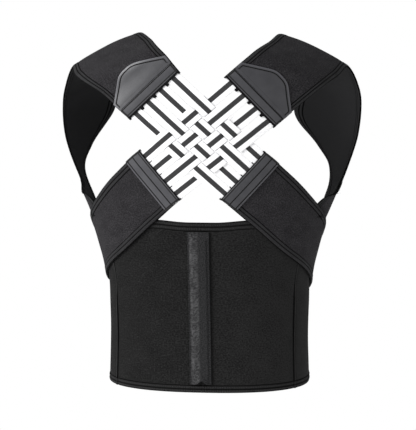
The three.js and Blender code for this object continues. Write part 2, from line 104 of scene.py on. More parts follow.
def shown(name: str, data: bpy.types.ID) -> bpy.types.Object:
    """A new object of the scene that shows some data."""
    made = bpy.data.objects.new(name, data)
    bpy.context.scene.collection.objects.link(made)
    return made


class FormRow(NamedTuple):
    """Half width and half depth of the form at a height, as shares of the waist's."""

    height: float
    width: float
    depth: float


class OverShoulderRow(NamedTuple):
    """Where a shoulder strap's edges are over the shoulder, its bulge, and how much it lies on the form."""

    arm: tuple[float, float, float]
    neck: tuple[float, float, float]
    bulge: float
    hold: float


class EdgesRow(NamedTuple):
    """Turn and height of a strap's two edges: its arm and neck edge, or its upper and foot edge."""

    first_turn: float
    first_height: float
    second_turn: float
    second_height: float


class Spot(NamedTuple):
    """A place on the back, as shares of the shoulder's half width and of the total height."""

    across: float
    height: float


class PadCorners(NamedTuple):
    """Corners of one side's strap ends, and two spots of its shoulder strap above them.

    The neck shift is what the side's strap adds to the neck edge in the first rows over the shoulder.
    """

    above_neck: Spot
    above_arm: Spot
    upper_neck: Spot
    upper_arm: Spot
    lower_top: Spot
    lower_foot: Spot
    neck_shift: tuple[Spot, ...]


class Side(Enum):
    """The two sides of the brace, as seen from the back."""

    RIGHT = 1
    LEFT = -1

    @property
    def label(self) -> str:
        """The side's name in a piece's name."""
        return self.name.lower()

    @property
    def corners(self) -> PadCorners:
        """Where this side's strap ends are; the worn brace hangs a little lower on the right."""
        if self is Side.RIGHT:
            return PadCorners(
                above_neck=Spot(0.303, 0.927),
                above_arm=Spot(0.718, 0.83),
                upper_neck=Spot(0.158, 0.875),
                upper_arm=Spot(0.464, 0.739),
                lower_top=Spot(0.397, 0.668),
                lower_foot=Spot(0.122, 0.536),
                neck_shift=(Spot(0.0, 0.002),),
            )
        return PadCorners(
            above_neck=Spot(0.222, 0.929),
            above_arm=Spot(0.657, 0.83),
            upper_neck=Spot(0.14, 0.887),
            upper_arm=Spot(0.457, 0.76),
            lower_top=Spot(0.391, 0.671),
            lower_foot=Spot(0.134, 0.536),
            neck_shift=(Spot(-0.055, 0.011), Spot(-0.01, 0.005)),
        )


# Cloth, and the layers over the form, in millimetres
CLOTH = 3.0
GAP = 0.3
LAYER_GAP = 0.6
EDGE_GAP = 0.6
STRAP_BASE = CLOTH + LAYER_GAP
STRAP_FACE = STRAP_BASE + CLOTH
STRAP_MIDDLE = STRAP_BASE + CLOTH / 2
MM = 0.001

FORM_PROFILE = (
    FormRow(0.0, 1.012, 1.0),
    FormRow(0.13, 1.0, 0.995),
    FormRow(0.22, 1.004, 1.005),
    FormRow(0.316, 1.02, 1.026),
    FormRow(0.423, 1.113, 1.053),
    FormRow(0.533, 1.266, 1.084),
    FormRow(0.607, 1.405, 1.106),
    FormRow(0.655, 1.478, 1.118),
    FormRow(0.71, 1.53, 1.132),
    FormRow(0.792, 1.555, 1.147),
    FormRow(1.0, 1.555, 1.147),
)

OVER_SHOULDER = (
    OverShoulderRow(arm=(0.843, -0.55, 0.874), neck=(0.405, -0.6, 0.966), bulge=0.045, hold=0.0),
    OverShoulderRow(arm=(0.914, -0.1, 0.9), neck=(0.464, -0.1, 0.993), bulge=0.04, hold=0.0),
    OverShoulderRow(arm=(0.972, 0.1, 0.857), neck=(0.49, 0.34, 0.957), bulge=0.09, hold=0.0),
    OverShoulderRow(arm=(1.0, 0.21, 0.792), neck=(0.555, 0.73, 0.874), bulge=0.13, hold=0.3),
)
RIDGE_ROW = 1

# Heights are shares of the total height
UNDER_ARM = (
    EdgesRow(0.55, 0.71, 0.807, 0.777),
    EdgesRow(0.548, 0.62, 0.718, 0.672),
    EdgesRow(0.52, 0.57, 0.643, 0.612),
    EdgesRow(0.44, 0.543, 0.603, 0.56),
    EdgesRow(0.34, 0.54, 0.592, 0.515),
    EdgesRow(0.245, 0.482, 0.58, 0.468),
)

# Heights are shares of the belt's height
ROUND_THE_SIDE = (
    EdgesRow(0.18, 1.26, 0.095, 0.995),
    EdgesRow(0.297, 1.107, 0.22, 0.818),
    EdgesRow(0.465, 0.955, 0.4, 0.668),
    EdgesRow(0.56, 0.86, 0.54, 0.56),
    EdgesRow(0.67, 0.775, 0.66, 0.485),
    EdgesRow(0.78, 0.71, 0.78, 0.44),
)


@dataclass(frozen=True)
class Form:
    """The form that the worn brace keeps, in millimetres from the hem, -Y at the back."""

    total_height: float = 456.0
    shoulder_half_width: float = 198.0
    waist_half_width: float = 128.0
    waist_half_depth: float = 95.0
    squareness: float = 2.4

    @property
    def origin(self) -> Points:
        """Middle of the line between the tops of the shoulder straps."""
        ridge = OVER_SHOULDER[RIDGE_ROW]
        height = self.total_height * (ridge.arm[2] + ridge.neck[2]) / 2
        return np.array([0.0, self.waist_half_depth * ridge.arm[1], height])

    def placed(self, points: Points) -> Points:
        """Points in millimetres from the hem, as metres in the shared frame."""
        return (points - self.origin) * MM

    def spot(self, spot: Spot | Points, side: int = 1) -> Points:
        """A place on the back, in millimetres across and up."""
        return np.array(spot) * np.array([side * self.shoulder_half_width, self.total_height])

    def halves(self, height: Values) -> tuple[Values, Values]:
        """Half width and half depth at a height.

        Args:
            height: Millimetres above the hem.

        Returns:
            The half width and the half depth.
        """
        share = np.asarray(height, float) / self.total_height
        places, *columns = np.array(FORM_PROFILE).T
        last = len(places) - 1
        row = np.clip(np.searchsorted(places, share) - 1, 0, last - 1)
        span = places[row + 1] - places[row]
        t = np.clip((share - places[row]) / span, 0, 1)
        low = np.maximum(np.arange(last + 1) - 1, 0)
        high = np.minimum(np.arange(last + 1) + 1, last)
        found = []
        for values, size in zip(columns, (self.waist_half_width, self.waist_half_depth)):
            slopes = (values[high] - values[low]) / (places[high] - places[low])
            rise = values[row + 1] - values[row]
            start = slopes[row] * span
            end = slopes[row + 1] * span
            curve = t * (start + t * (3 * rise - 2 * start - end + t * (start + end - 2 * rise)))
            found.append(size * (values[row] + curve))
        return found[0], found[1]

    def outward(self, turn: Values) -> Points:
        """Direction in which layers lie over each other at a turn."""
        angle = np.asarray(turn, float) * math.pi
        x = signed_power(np.sin(angle), 2 / self.squareness)
        y = -signed_power(np.cos(angle), 2 / self.squareness)
        return np.stack([x, y, np.zeros_like(x)], axis=-1)

    def on_form(self, turn: Values, height: Values, offset: Values) -> Points:
        """Points over the form.

        Args:
            turn: 0 at the back centre, 1 at the front centre, negative on the left.
            height: Millimetres above the hem.
            offset: Millimetres out from the form.

        Returns:
            The points, in millimetres.
        """
        turn, height, offset = np.broadcast_arrays(turn, height, offset)
        width, depth = self.halves(height)
        way = self.outward(turn)
        return np.stack([(width + offset) * way[..., 0], (depth + offset) * way[..., 1], height], axis=-1)

    def turn_of(self, points: Points, offset: float) -> Values:
        """Turn of points that need not lie on the form."""
        width, depth = self.halves(points[..., 2])
        sine = signed_power(points[..., 0] / (width + offset), self.squareness / 2)
        cosine = signed_power(-points[..., 1] / (depth + offset), self.squareness / 2)
        return np.arctan2(sine, cosine) / math.pi

    def back_turn(self, across: Values, height: Values) -> Values:
        """Turn of a place on the back, from its distance across and its height."""
        width, _ = self.halves(height)
        sine = signed_power(np.clip(across / (width + STRAP_FACE), -1, 1), self.squareness / 2)
        return np.arcsin(sine) / math.pi

    def on_back(self, across: Values, height: Values, offset: Values) -> Points:
        """Points over the back, from their distance across and their height."""
        return self.on_form(self.back_turn(across, height), height, offset)

    def girth_per_turn(self, turn: float, height: float) -> float:
        """Millimetres round the form for a whole unit of turn, measured near a place."""
        step = 0.01
        low, high = (self.on_form(turn + shift, height, 0.0) for shift in (-step, step))
        return float(np.linalg.norm(high - low)) / (2 * step)


class SmoothLine:
    """A centripetal curve through points; a place on it counts the points passed."""

    def __init__(self, points: Points) -> None:
        """Works out the curve's slopes at each point.

        Args:
            points: The points, at least two.
        """
        ends = np.vstack([2 * points[0] - points[1], points, 2 * points[-1] - points[-2]])
        steps = np.sqrt(np.linalg.norm(np.diff(ends, axis=0), axis=1))[:, None]
        before, here, after = steps[:-2], steps[1:-1], steps[2:]
        a, b, c, d = ends[:-3], ends[1:-2], ends[2:-1], ends[3:]
        self.points = points
        self.leave = ((b - a) / before - (c - a) / (before + here) + (c - b) / here) * here
        self.reach = ((c - b) / here - (d - b) / (here + after) + (d - c) / after) * here

    def at(self, place: Values) -> Points:
        """Points of the curve.

        Args:
            place: Places, counted in points passed.

        Returns:
            The points.
        """
        count = len(self.points) - 1
        place = np.clip(place, 0, count)
        low = np.minimum(np.floor(place).astype(int), count - 1)
        w = (place - low)[:, None]
        start, end, leave, reach = self.points[low], self.points[low + 1], self.leave[low], self.reach[low]
        bend = -3 * start + 3 * end - 2 * leave - reach
        return start + leave * w + bend * w**2 + (2 * start - 2 * end + leave + reach) * w**3


@dataclass(frozen=True)
class BeltSizes:
    """Sizes of the belt round the waist, in millimetres; turns are as on the form."""

    height: float = 219.5
    sag: float = 3.0
    front_drop: float = 39.0
    hem_tape: float = 10.0
    top_tape: float = 11.5
    welt_width: float = 4.5
    welt_rise: float = 0.8
    hook_tape: float = 1.2
    seam_turn: float = 0.322
    flap_end: float = 1.11
    ramp: tuple[float, float] = (0.81, 0.87)
    tape_turn: float = 0.91
    sag_zone: tuple[float, float] = (0.02, 0.11)
    drop_zone: tuple[float, float] = (0.38, 0.92)

    def top(self, turn: Values) -> Values:
        """Height of the belt's top edge."""
        turn = np.abs(np.asarray(turn, float))
        sag = self.sag * (1 - ease(*self.sag_zone, turn))
        return self.height - sag - self.front_drop * ease(*self.drop_zone, np.minimum(turn, 2 - turn))

    def lift(self, turn: Values) -> Values:
        """How far the right flap rises over the end of the left one."""
        return (CLOTH + GAP + self.hook_tape + GAP) * ease(*self.ramp, turn)


@dataclass
class StrapRun:
    """A strap's middle surface: stations run from its end at the pad, v from one edge to the other."""

    form: Form
    belt: BeltSizes
    side: Side
    tip: float = 3.5
    last: int = 0

    def surface(self, s: Values, v: Values, offset: Values) -> Points:
        """Points of the strap, each kind of strap in its own way."""
        raise NotImplementedError

    def pad_end(self, first: Spot, second: Spot) -> tuple[Points, Points, Points]:
        """Both corners of the strap's end at its pad, in millimetres, and the strap's way there."""
        start, end = self.form.spot(first), self.form.spot(second)
        way = np.array([end[1] - start[1], start[0] - end[0]]) / np.linalg.norm(end - start)
        return start, end, way

    def walked(self, v: float, count: int = 500) -> tuple[Values, Values]:
        """Stations and the distance walked to each along one line of the strap.

        Args:
            v: The line, from one edge to the other.
            count: How many steps are measured.

        Returns:
            The stations and the distances, in millimetres.
        """
        stations = np.linspace(0, self.last, count + 1)
        points = self.surface(stations, np.full_like(stations, v), np.zeros_like(stations))
        return stations, lengths_along(points)

    def station(self, distance: Values, v: Values) -> Values:
        """Stations at distances from the strap's end along the lines v.

        Args:
            distance: The distances, in millimetres.
            v: The lines, from one edge to the other.

        Returns:
            The stations.
        """
        found = np.zeros_like(distance)
        rounded = np.round(v, 5)
        for line in np.unique(rounded):
            chosen = rounded == line
            stations, walked = self.walked(float(line), 240)
            found[chosen] = np.interp(distance[chosen], walked, stations)
        return found

    def width(self) -> float:
        """Width of the strap at its end."""
        ends = self.surface(np.zeros(2), np.array([0.0, 1.0]), np.zeros(2))
        return float(np.linalg.norm(ends[1] - ends[0]))

    def measure(self, u: Values, v: Values) -> tuple[Values, Values]:
        """Distance along and across the strap of a place given in shares, in millimetres."""
        stations, walked = self.walked(0.5)
        return np.interp(u * self.last, stations, walked), v * self.width()


@dataclass
class ShoulderRun(StrapRun):
    """Shoulder strap: up from its pad, over the shoulder, down the chest and back under the arm."""

    front_pull: float = 0.042
    pulled_turns: tuple[float, float] = (0.5, 0.64)
    pulled_below: tuple[float, float] = (0.72, 0.95)

    def __post_init__(self) -> None:
        """Sets the stations out and draws the curves of both edges and of the middle."""
        form, corners = self.form, self.side.corners
        arm_end, neck_end, along = self.pad_end(corners.upper_arm, corners.upper_neck)
        arm_above, neck_above = form.spot(corners.above_arm), form.spot(corners.above_neck)
        stations = []
        for arm, neck in (
            (arm_end - self.tip * along, neck_end - self.tip * along),
            (mix(arm_end, arm_above, 0.5), mix(neck_end, neck_above, 0.5)),
            (arm_above, neck_above),
        ):
            spots = (arm, (arm + neck) / 2, neck)
            stations.append([*(form.on_back(*spot, STRAP_MIDDLE) for spot in spots), 1.0])
        self.ridge_station = len(stations) + RIDGE_ROW
        scale = np.array([form.shoulder_half_width, form.waist_half_depth, form.total_height])
        over = []
        for index, row in enumerate(OVER_SHOULDER):
            shift = corners.neck_shift[index] if index < len(corners.neck_shift) else Spot(0.0, 0.0)
            neck = np.array(row.neck) + np.array([shift.across, 0.0, shift.height])
            over.append((np.array(row.arm) * scale, neck * scale, row.bulge, row.hold))
        for row in UNDER_ARM:
            arm = form.on_form(row.first_turn, row.first_height * form.total_height, CLOTH / 2)
            neck = form.on_form(row.second_turn, row.second_height * form.total_height, CLOTH / 2)
            over.append((arm, neck, 0.0, 1.0))
        for index, (arm, neck, bulge, hold) in enumerate(over):
            before = over[index - 1][0] + over[index - 1][1] if index else stations[2][0] + stations[2][2]
            following = over[min(index + 1, len(over) - 1)]
            heading = following[0] + following[1] - before
            across = neck - arm
            middle = (arm + neck) / 2 + unit(np.cross(heading, across)) * bulge * np.linalg.norm(across)
            if hold == 1:
                middle = form.on_form(form.turn_of(middle, CLOTH / 2), middle[2], CLOTH / 2)
            stations.append([arm, middle, neck, hold])
        self.last = len(stations) - 1
        self.holds = np.array([station[3] for station in stations])
        self.curves = [SmoothLine(np.array([station[line] for station in stations])) for line in range(3)]

    def hold(self, s: Values) -> Values:
        """How much the strap lies on the form."""
        low = np.minimum(np.floor(s).astype(int), self.last - 1)
        return mix(self.holds[low], self.holds[low + 1], ease(0, 1, s - low))

    def middle(self, s: Values, v: Values) -> Points:
        """Points of the middle surface, right side.

        Args:
            s: Stations.
            v: Lines, from the arm edge to the neck edge.

        Returns:
            The points, in millimetres.
        """
        form = self.form
        arm, centre, neck = (curve.at(s) for curve in self.curves)
        w = v[:, None]
        point = arm * (1 - w) * (1 - 2 * w) + centre * 4 * w * (1 - w) + neck * w * (2 * w - 1)
        near = (s < self.ridge_station)[:, None]
        turn = form.turn_of(point, CLOTH / 2)
        back = form.on_back(point[:, 0], point[:, 2], STRAP_MIDDLE)
        body = form.on_form(turn, point[:, 2], CLOTH / 2)
        point = mix(point, np.where(near, back, body), self.hold(s)[:, None])
        height = point[:, 2]
        pulled_low = 1 - ease(*self.pulled_below, height / form.total_height)
        pull = self.side.value * self.front_pull * ease(*self.pulled_turns, turn) * pulled_low
        shift = form.on_form(turn + pull, height, CLOTH / 2) - form.on_form(turn, height, CLOTH / 2)
        on_belt = ease(self.last - 2, self.last, s) ** 2
        foot_height = mix(height, self.belt.top(turn + pull) + EDGE_GAP, on_belt)
        foot = form.on_form(turn + pull, foot_height, CLOTH / 2)
        return np.where(near, point, np.where(on_belt[:, None] > 0, foot, point + shift))

    def surface(self, s: Values, v: Values, offset: Values) -> Points:
        """Points of the strap at an offset from its middle surface.

        Args:
            s: Stations.
            v: Lines, from the arm edge to the neck edge.
            offset: Millimetres out from the middle.

        Returns:
            The points, in millimetres.
        """
        step = 0.02
        s, v, offset = (np.asarray(value, float) for value in np.broadcast_arrays(s, v, offset))
        point = self.middle(s, v)
        ahead = self.middle(np.minimum(s + step, self.last), v) - self.middle(np.maximum(s - step, 0), v)
        across = self.middle(s, np.minimum(v + step, 1)) - self.middle(s, np.maximum(v - step, 0))
        near = s < self.ridge_station
        turn = np.where(near, self.form.turn_of(point, STRAP_MIDDLE), self.form.turn_of(point, CLOTH / 2))
        way = mix(unit(np.cross(ahead, across)), self.form.outward(turn), self.hold(s)[:, None])
        return (point + way * offset[:, None]) * np.array([self.side.value, 1, 1])


@dataclass
class SideRun(StrapRun):
    """Lower strap: from its pad down round the side to the front of the belt."""

    def __post_init__(self) -> None:
        """Sets the stations out and draws the curves of both edges."""
        form, belt, corners = self.form, self.belt, self.side.corners
        foot, top, along = self.pad_end(corners.lower_foot, corners.lower_top)
        self.girth = form.girth_per_turn(belt.seam_turn, belt.height / 2)
        self.curves = []
        table = np.array(ROUND_THE_SIDE).T
        for corner, turns, heights in ((top, table[0], table[1]), (foot, table[2], table[3])):
            end = corner - self.tip * along
            turns = np.append(form.back_turn(*end), turns)
            heights = np.append(end[1], heights * belt.height)
            self.curves.append(SmoothLine(np.stack([turns * self.girth, 0 * turns, heights], axis=-1)))
        self.last = len(ROUND_THE_SIDE)

    def surface(self, s: Values, v: Values, offset: Values) -> Points:
        """Points of the strap at an offset from its middle surface.

        Args:
            s: Stations.
            v: Lines, from the upper edge to the foot edge.
            offset: Millimetres out from the middle.

        Returns:
            The points, in millimetres.
        """
        s, v, offset = (np.asarray(value, float) for value in np.broadcast_arrays(s, v, offset))
        upper, lower = (curve.at(s) for curve in self.curves)
        spot = mix(upper, lower, v[:, None])
        point = self.form.on_form(spot[:, 0] / self.girth, spot[:, 2], STRAP_MIDDLE + offset)
        return point * np.array([self.side.value, 1, 1])


class Signal:
    """A value in a finish's node tree that takes part in Python expressions."""

    def __init__(self, tree: "FinishTree", socket: bpy.types.NodeSocket) -> None:
        """Wraps one output socket."""
        self.tree = tree
        self.socket = socket

    def joined(self, operation: str, first: "Signal | float", second: "Signal | float" = 0.0) -> "Signal":
        """A Math node over two values."""
        return self.tree.node("ShaderNodeMath", {"operation": operation}, {0: first, 1: second})

    def __add__(self, other: "Signal | float") -> "Signal":
        """Sum."""
        return self.joined("ADD", self, other)

    def __sub__(self, other: "Signal | float") -> "Signal":
        """Difference."""
        return self.joined("SUBTRACT", self, other)

    def __rsub__(self, other: "Signal | float") -> "Signal":
        """Difference from a number."""
        return self.joined("SUBTRACT", other, self)

    def __mul__(self, other: "Signal | float") -> "Signal":
        """Product."""
        return self.joined("MULTIPLY", self, other)

    def __truediv__(self, other: "Signal | float") -> "Signal":
        """Quotient."""
        return self.joined("DIVIDE", self, other)

    def __abs__(self) -> "Signal":
        """Size without the sign."""
        return self.joined("ABSOLUTE", self)

    def sine(self) -> "Signal":
        """Sine of an angle in radians."""
        return self.joined("SINE", self)

    def wave(self, pitch: float) -> "Signal":
        """Wave between 0 and 1 over a value in millimetres."""
        return (self * (2 * math.pi / pitch)).sine() * 0.5 + 0.5

    def most(self, other: "Signal | float") -> "Signal":
        """The larger of two values."""
        return self.joined("MAXIMUM", self, other)

    def rise(self, low: float = 0.0, high: float = 1.0) -> "Signal":
        """Smooth rise from 0 at low to 1 at high."""
        ends = {"Value": self, "From Min": low, "From Max": high, "To Min": 0.0, "To Max": 1.0}
        return self.tree.node("ShaderNodeMapRange", {"interpolation_type": "SMOOTHSTEP"}, ends)

    def step(self, at: float, half_width: float = 0.2) -> "Signal":
        """Short smooth rise from 0 to 1 at a number."""
        return self.rise(at - half_width, at + half_width)

    def line(self, at: float, half_width: float) -> "Signal":
        """1 on a line where the value is at a number, 0 past a half width from it."""
        return 1 - abs(self - at).rise(half_width * 0.4, half_width)

    def output(self, name: str) -> "Signal":
        """Another output of the same node."""
        return Signal(self.tree, self.socket.node.outputs[name])


class FinishTree:
    """The node tree of one finish, or of the surround."""

    def __init__(self, name: str, world: bpy.types.World | None = None) -> None:
        """Starts an empty tree, in a new material unless a world is given.

        Args:
            name: The material's name.
            world: The world whose tree it is.
        """
        self.material = world or bpy.data.materials.new(name)
        self.material.use_nodes = True
        self.nodes = self.material.node_tree.nodes
        self.links = self.material.node_tree.links
        self.nodes.clear()

    def node(self, kind: str, settings: dict, inputs: dict, output: int | str = 0) -> Signal:
        """Adds a node.

        Args:
            kind: Blender's name of the node's type.
            settings: The node's own settings, set first.
            inputs: Values or links of its sockets, by name or number.
            output: Which output is given back.

        Returns:
            That output.
        """
        made = self.nodes.new(kind)
        for name, value in settings.items():
            setattr(made, name, value)
        for name, value in inputs.items():
            if isinstance(value, Signal):
                self.links.new(value.socket, made.inputs[name])
            else:
                made.inputs[name].default_value = value
        return Signal(self, made.outputs[output])

    def cut(self) -> Signal:
        """The piece's own pattern coordinates, in metres along and across."""
        return self.node("ShaderNodeUVMap", {"uv_map": "cut"}, {})

    def along_and_across(self) -> tuple[Signal, Signal]:
        """Millimetres along and across the piece."""
        parts = self.node("ShaderNodeSeparateXYZ", {}, {0: self.cut()})
        return parts / MM, parts.output("Y") / MM

    def painted(self, name: str) -> Signal:
        """A named value that the piece's mesh carries."""
        return self.node("ShaderNodeAttribute", {"attribute_name": name}, {}, "Fac")

    def place(self) -> Signal:
        """The object's own coordinates, in metres."""
        return self.node("ShaderNodeTexCoord", {}, {}, "Object")

    def noise(self, place: Signal, scale: float, detail: float = 2.0, roughness: float = 0.5) -> Signal:
        """Noise between 0 and 1."""
        values = {"Vector": place, "Scale": scale, "Detail": detail, "Roughness": roughness}
        return self.node("ShaderNodeTexNoise", {"noise_dimensions": "3D"}, values)

    def grain(self, size: float, detail: float, roughness: float, squeeze: float = 1.0) -> Signal:
        """Noise over the cut pattern.

        Args:
            size: Size of its grains along the piece, in millimetres.
            detail: How many finer layers it has.
            roughness: How strong the finer layers are.
            squeeze: How many times finer it is across the piece.

        Returns:
            Noise between 0 and 1.
        """
        stretch = {"Vector": self.cut(), "Scale": (1.0, squeeze, 1.0)}
        place = self.node("ShaderNodeMapping", {"vector_type": "POINT"}, stretch)
        return self.noise(place, 1 / (size * MM), detail, roughness)

    def between(self, first: Signal | tuple, second: Signal | tuple, share: Signal | float) -> Signal:
        """Colour at a share of the way from one colour to another."""
        return self.node("ShaderNodeMix", {"data_type": "RGBA"}, {0: share, 6: first, 7: second}, 2)

    def bump(self, height: Signal, depth: float, strength: float) -> Signal:
        """Surface relief from a height between 0 and 1, and its depth in millimetres."""
        values = {"Height": height, "Distance": depth * MM, "Strength": strength}
        return self.node("ShaderNodeBump", {}, values)

    def skin(
        self, colour: Signal, roughness: Signal | float, **others: Signal | float
    ) -> bpy.types.Material:
        """Ends the tree in a surface.

        Args:
            colour: Its colour.
            roughness: Its roughness.
            others: Its other sockets, with _ for each space in a name.

        Returns:
            The material.
        """
        sockets = {"Base Color": colour, "Roughness": roughness}
        sockets |= {name.replace("_", " "): value for name, value in others.items()}
        self.show("ShaderNodeOutputMaterial", self.node("ShaderNodeBsdfPrincipled", {}, sockets))
        return self.material

    def show(self, kind: str, surface: Signal) -> None:
        """Links a surface to an output node of that kind."""
        made = self.nodes.new(kind)
        self.links.new(surface.socket, made.inputs["Surface"])


MATT = {"Specular_IOR_Level": 0.05, "Sheen_Weight": 0.01}


def shade(red: float, green: float, blue: float) -> tuple[float, float, float, float]:
    """A colour given as 0 to 255, as the shader's own."""
    linear = [((c / 255 + 0.055) / 1.055) ** 2.4 if c > 10 else c / 255 / 12.92 for c in (red, green, blue)]
    return (linear[0], linear[1], linear[2], 1.0)


def grey(level: float, blue: float = 0.0) -> tuple[float, float, float, float]:
    """A grey given as 0 to 255, with a little blue added if asked."""
    return shade(level, level, level + blue)


@dataclass(frozen=True)
class ClothFinish:
    """Dense brushed cloth with a fine mottled face and a smoother lining."""

    name: str
    dark: tuple
    light: tuple
    # Painted light: how much paler the cloth is painted towards the right.
    fade: float = 0.0
    lining: tuple = grey(39, 1)
    knit_pitch: float = 1.1

    def material(self) -> bpy.types.Material:
        """The finish as a material; painted light makes it paler towards the right.

        Returns:
            The material.
        """
        tree = FinishTree(self.name)
        along, across = tree.along_and_across()
        heather = tree.grain(1.5, 3.0, 0.8)
        cloud = tree.grain(24.0, 3.0, 0.6)
        fleck = tree.grain(2.4, 1.0, 0.5).rise(0.58, 0.74)
        share = (heather - 0.5) * 3.2 + 0.38 + (cloud - 0.5) * 0.5 + fleck * 0.4
        # Painted light: paler towards the right, where the belt gets less light.
        share = share + along.rise(-60.0, 110.0) * self.fade
        face = tree.between(self.dark, self.light, share.rise())
        colour = tree.between(face, self.lining, tree.painted("inner"))
        turn = 2 * math.pi / self.knit_pitch
        knit = (along * turn + (across * (turn / 2)).sine() * 0.8).sine() * 0.25 + 0.5
        bump = tree.bump(knit * 0.35 + heather * 0.9 + cloud * 0.6, 0.4, 0.8)
        return tree.skin(colour, heather * 0.16 + 0.82, Normal=bump, Sheen_Roughness=0.6, **MATT)


@dataclass(frozen=True)
class TapeFinish:
    """Ribbed tape with dark seam lines, some painted shade at its edges; another tape's lines may cross its
    first end.
    """

    name: str
    seams: tuple[float, ...]
    dark: tuple = grey(18)
    light: tuple = grey(43)
    lining: tuple = grey(44, 1)
    seam: tuple = grey(2)
    seam_half: float = 1.0
    crossings: tuple[float, ...] = ()
    rib_pitch: float = 1.3

    def material(self) -> bpy.types.Material:
        """The finish as a material; its pattern is in millimetres from the outer edge.

        Returns:
            The material.
        """
        tree = FinishTree(self.name)
        along, across = tree.along_and_across()
        rib = along.wave(self.rib_pitch)
        fuzz = tree.grain(1.1, 3.0, 0.7)
        wide = tree.grain(18.0, 2.0, 0.5)
        # Dark lines at the seams; on the belt's and straps' tapes the lines at the very edges are painted
        # shade.
        groove = across * 0.0
        for place in self.seams:
            groove = groove.most(across.line(place, self.seam_half))
        if self.crossings:
            groove = groove * along.step(max(self.crossings))
            for place in self.crossings:
                groove = groove.most(along.line(place, 1.0))
        share = rib * 0.35 + (fuzz - 0.5) * 1.8 + (wide - 0.5) * 0.4 + 0.33
        face = tree.between(self.dark, self.light, share.rise())
        face = tree.between(face, self.lining, tree.painted("inner") * 0.9)
        colour = tree.between(face, self.seam, groove * 0.95)
        bump = tree.bump(rib * 0.35 + fuzz * 0.4 - groove * 0.9 + 0.5, 0.35, 0.8)
        return tree.skin(colour, fuzz * 0.2 + 0.75, Normal=bump, **MATT)


@dataclass(frozen=True)
class SleeveFinish:
    """Cloth sleeve whose left half is brushed up to a pale nap with painted sheen, and with a painted
    shadow along its right edge.
    """

    width: float
    name: str = "brushed_sheen_sleeve"
    dark: tuple = grey(24, 1)
    light: tuple = grey(55, 1)
    # Colour of the pale brushed nap with painted sheen.
    nap_sheen: tuple = grey(78, 1)
    # Also the colour of the painted shadow along the right edge.
    seam: tuple = grey(4)

    def material(self) -> bpy.types.Material:
        """The finish as a material; across runs from the left edge of the sleeve.

        Returns:
            The material.
        """
        tree = FinishTree(self.name)
        _, across = tree.along_and_across()
        heather = tree.grain(1.4, 3.0, 0.7)
        streak = tree.grain(2.2, 4.0, 0.85, 0.6)
        patch = tree.grain(19.0, 3.0, 0.65)
        body = tree.between(self.dark, self.light, ((heather - 0.5) * 2.8 + 0.45).rise())
        # Painted sheen: the raised left half is painted paler, together with its brushed nap.
        zone = across.rise(1.0, 3.6) * (1 - across.rise(self.width * 0.4, self.width * 0.52))
        strength = zone * ((streak - 0.5) * 3.4 + (patch - 0.5) * 1.6 + 0.45).rise()
        # Painted shadow: a dark line along the sleeve's right edge.
        groove = across.line(self.width - 0.4, 1.2)
        colour = tree.between(tree.between(body, self.nap_sheen, strength), self.seam, groove * 0.85)
        bump = tree.bump(heather * 0.6 + strength * 0.7 + patch * 0.7 - groove, 0.4, 0.8)
        return tree.skin(colour, heather * 0.12 + 0.85, Normal=bump, **MATT)


@dataclass(frozen=True)
class LeatherFinish:
    """Smooth grained leather with a painted highlight along its bevelled rim, and grooves under its
    stitches.

    Seams run across it at distances from the strap's end, side seams along it; edge_seam follows its rim.
    """

    name: str
    seams: tuple[float, ...] = ()
    edge_seam: float = 3.6
    side_seams: tuple[float, ...] = ()
    rim_from: float = 0.0
    dark: tuple = grey(47, 4)
    light: tuple = grey(59, 4)
    # Colour of the painted highlight along the rim.
    worn: tuple = grey(78, 5)
    seam: tuple = grey(2)
    seam_half: float = 1.1
    border: tuple = grey(36, 1)

    def material(self) -> bpy.types.Material:
        """The finish as a material; along runs from the strap's end.

        Returns:
            The material.
        """
        tree = FinishTree(self.name)
        along, across = tree.along_and_across()
        edge, inner = tree.painted("edge"), tree.painted("inner")
        cells = {"Vector": tree.cut(), "Scale": 1100.0, "Smoothness": 0.6}
        pebble = tree.node("ShaderNodeTexVoronoi", {"feature": "SMOOTH_F1"}, cells)
        tone = tree.grain(14.0, 3.0, 0.55)
        fine = tree.grain(0.7, 2.0, 0.6)
        face = tree.between(self.dark, self.light, (tone * 1.3 + fine * 0.3 - 0.3).rise())
        # Painted highlight: the rim and a narrow margin inside it are painted paler.
        far = along.rise(self.rim_from, self.rim_from + 1.0) * (1 - inner)
        rim = (1 - edge.rise(0.7, 1.8)) * far
        margin = (1 - edge.step(max(self.edge_seam, 1.5) - 1.0, 0.4)) * far
        colour = tree.between(face, self.worn, rim * (tone * 0.4 + 0.3) + margin * 0.3)
        groove = edge.line(self.edge_seam, self.seam_half) * far if self.edge_seam else edge * 0.0
        for place in self.seams:
            groove = groove.most(along.line(place, self.seam_half))
        border = edge * 0.0
        if self.side_seams:
            low, high = self.side_seams
            groove = groove.most(across.line(low, self.seam_half)).most(across.line(high, self.seam_half))
            border = (1 - across.step(low)).most(across.step(high))
            colour = tree.between(colour, self.border, border)
        groove = groove * (1 - inner)
        matt = groove.most(border)
        roughness = pebble * 0.1 + 0.34 + tone * 0.08 + matt * 0.5
        bump = tree.bump(pebble * 0.35 + fine * 0.15 - groove * 0.9 + 0.6, 0.22, 0.7)
        gloss = {"Specular_IOR_Level": 0.6, "Coat_Weight": (1 - matt) * 0.16, "Coat_Roughness": 0.3}
        return tree.skin(tree.between(colour, self.seam, groove * 0.95), roughness, Normal=bump, **gloss)


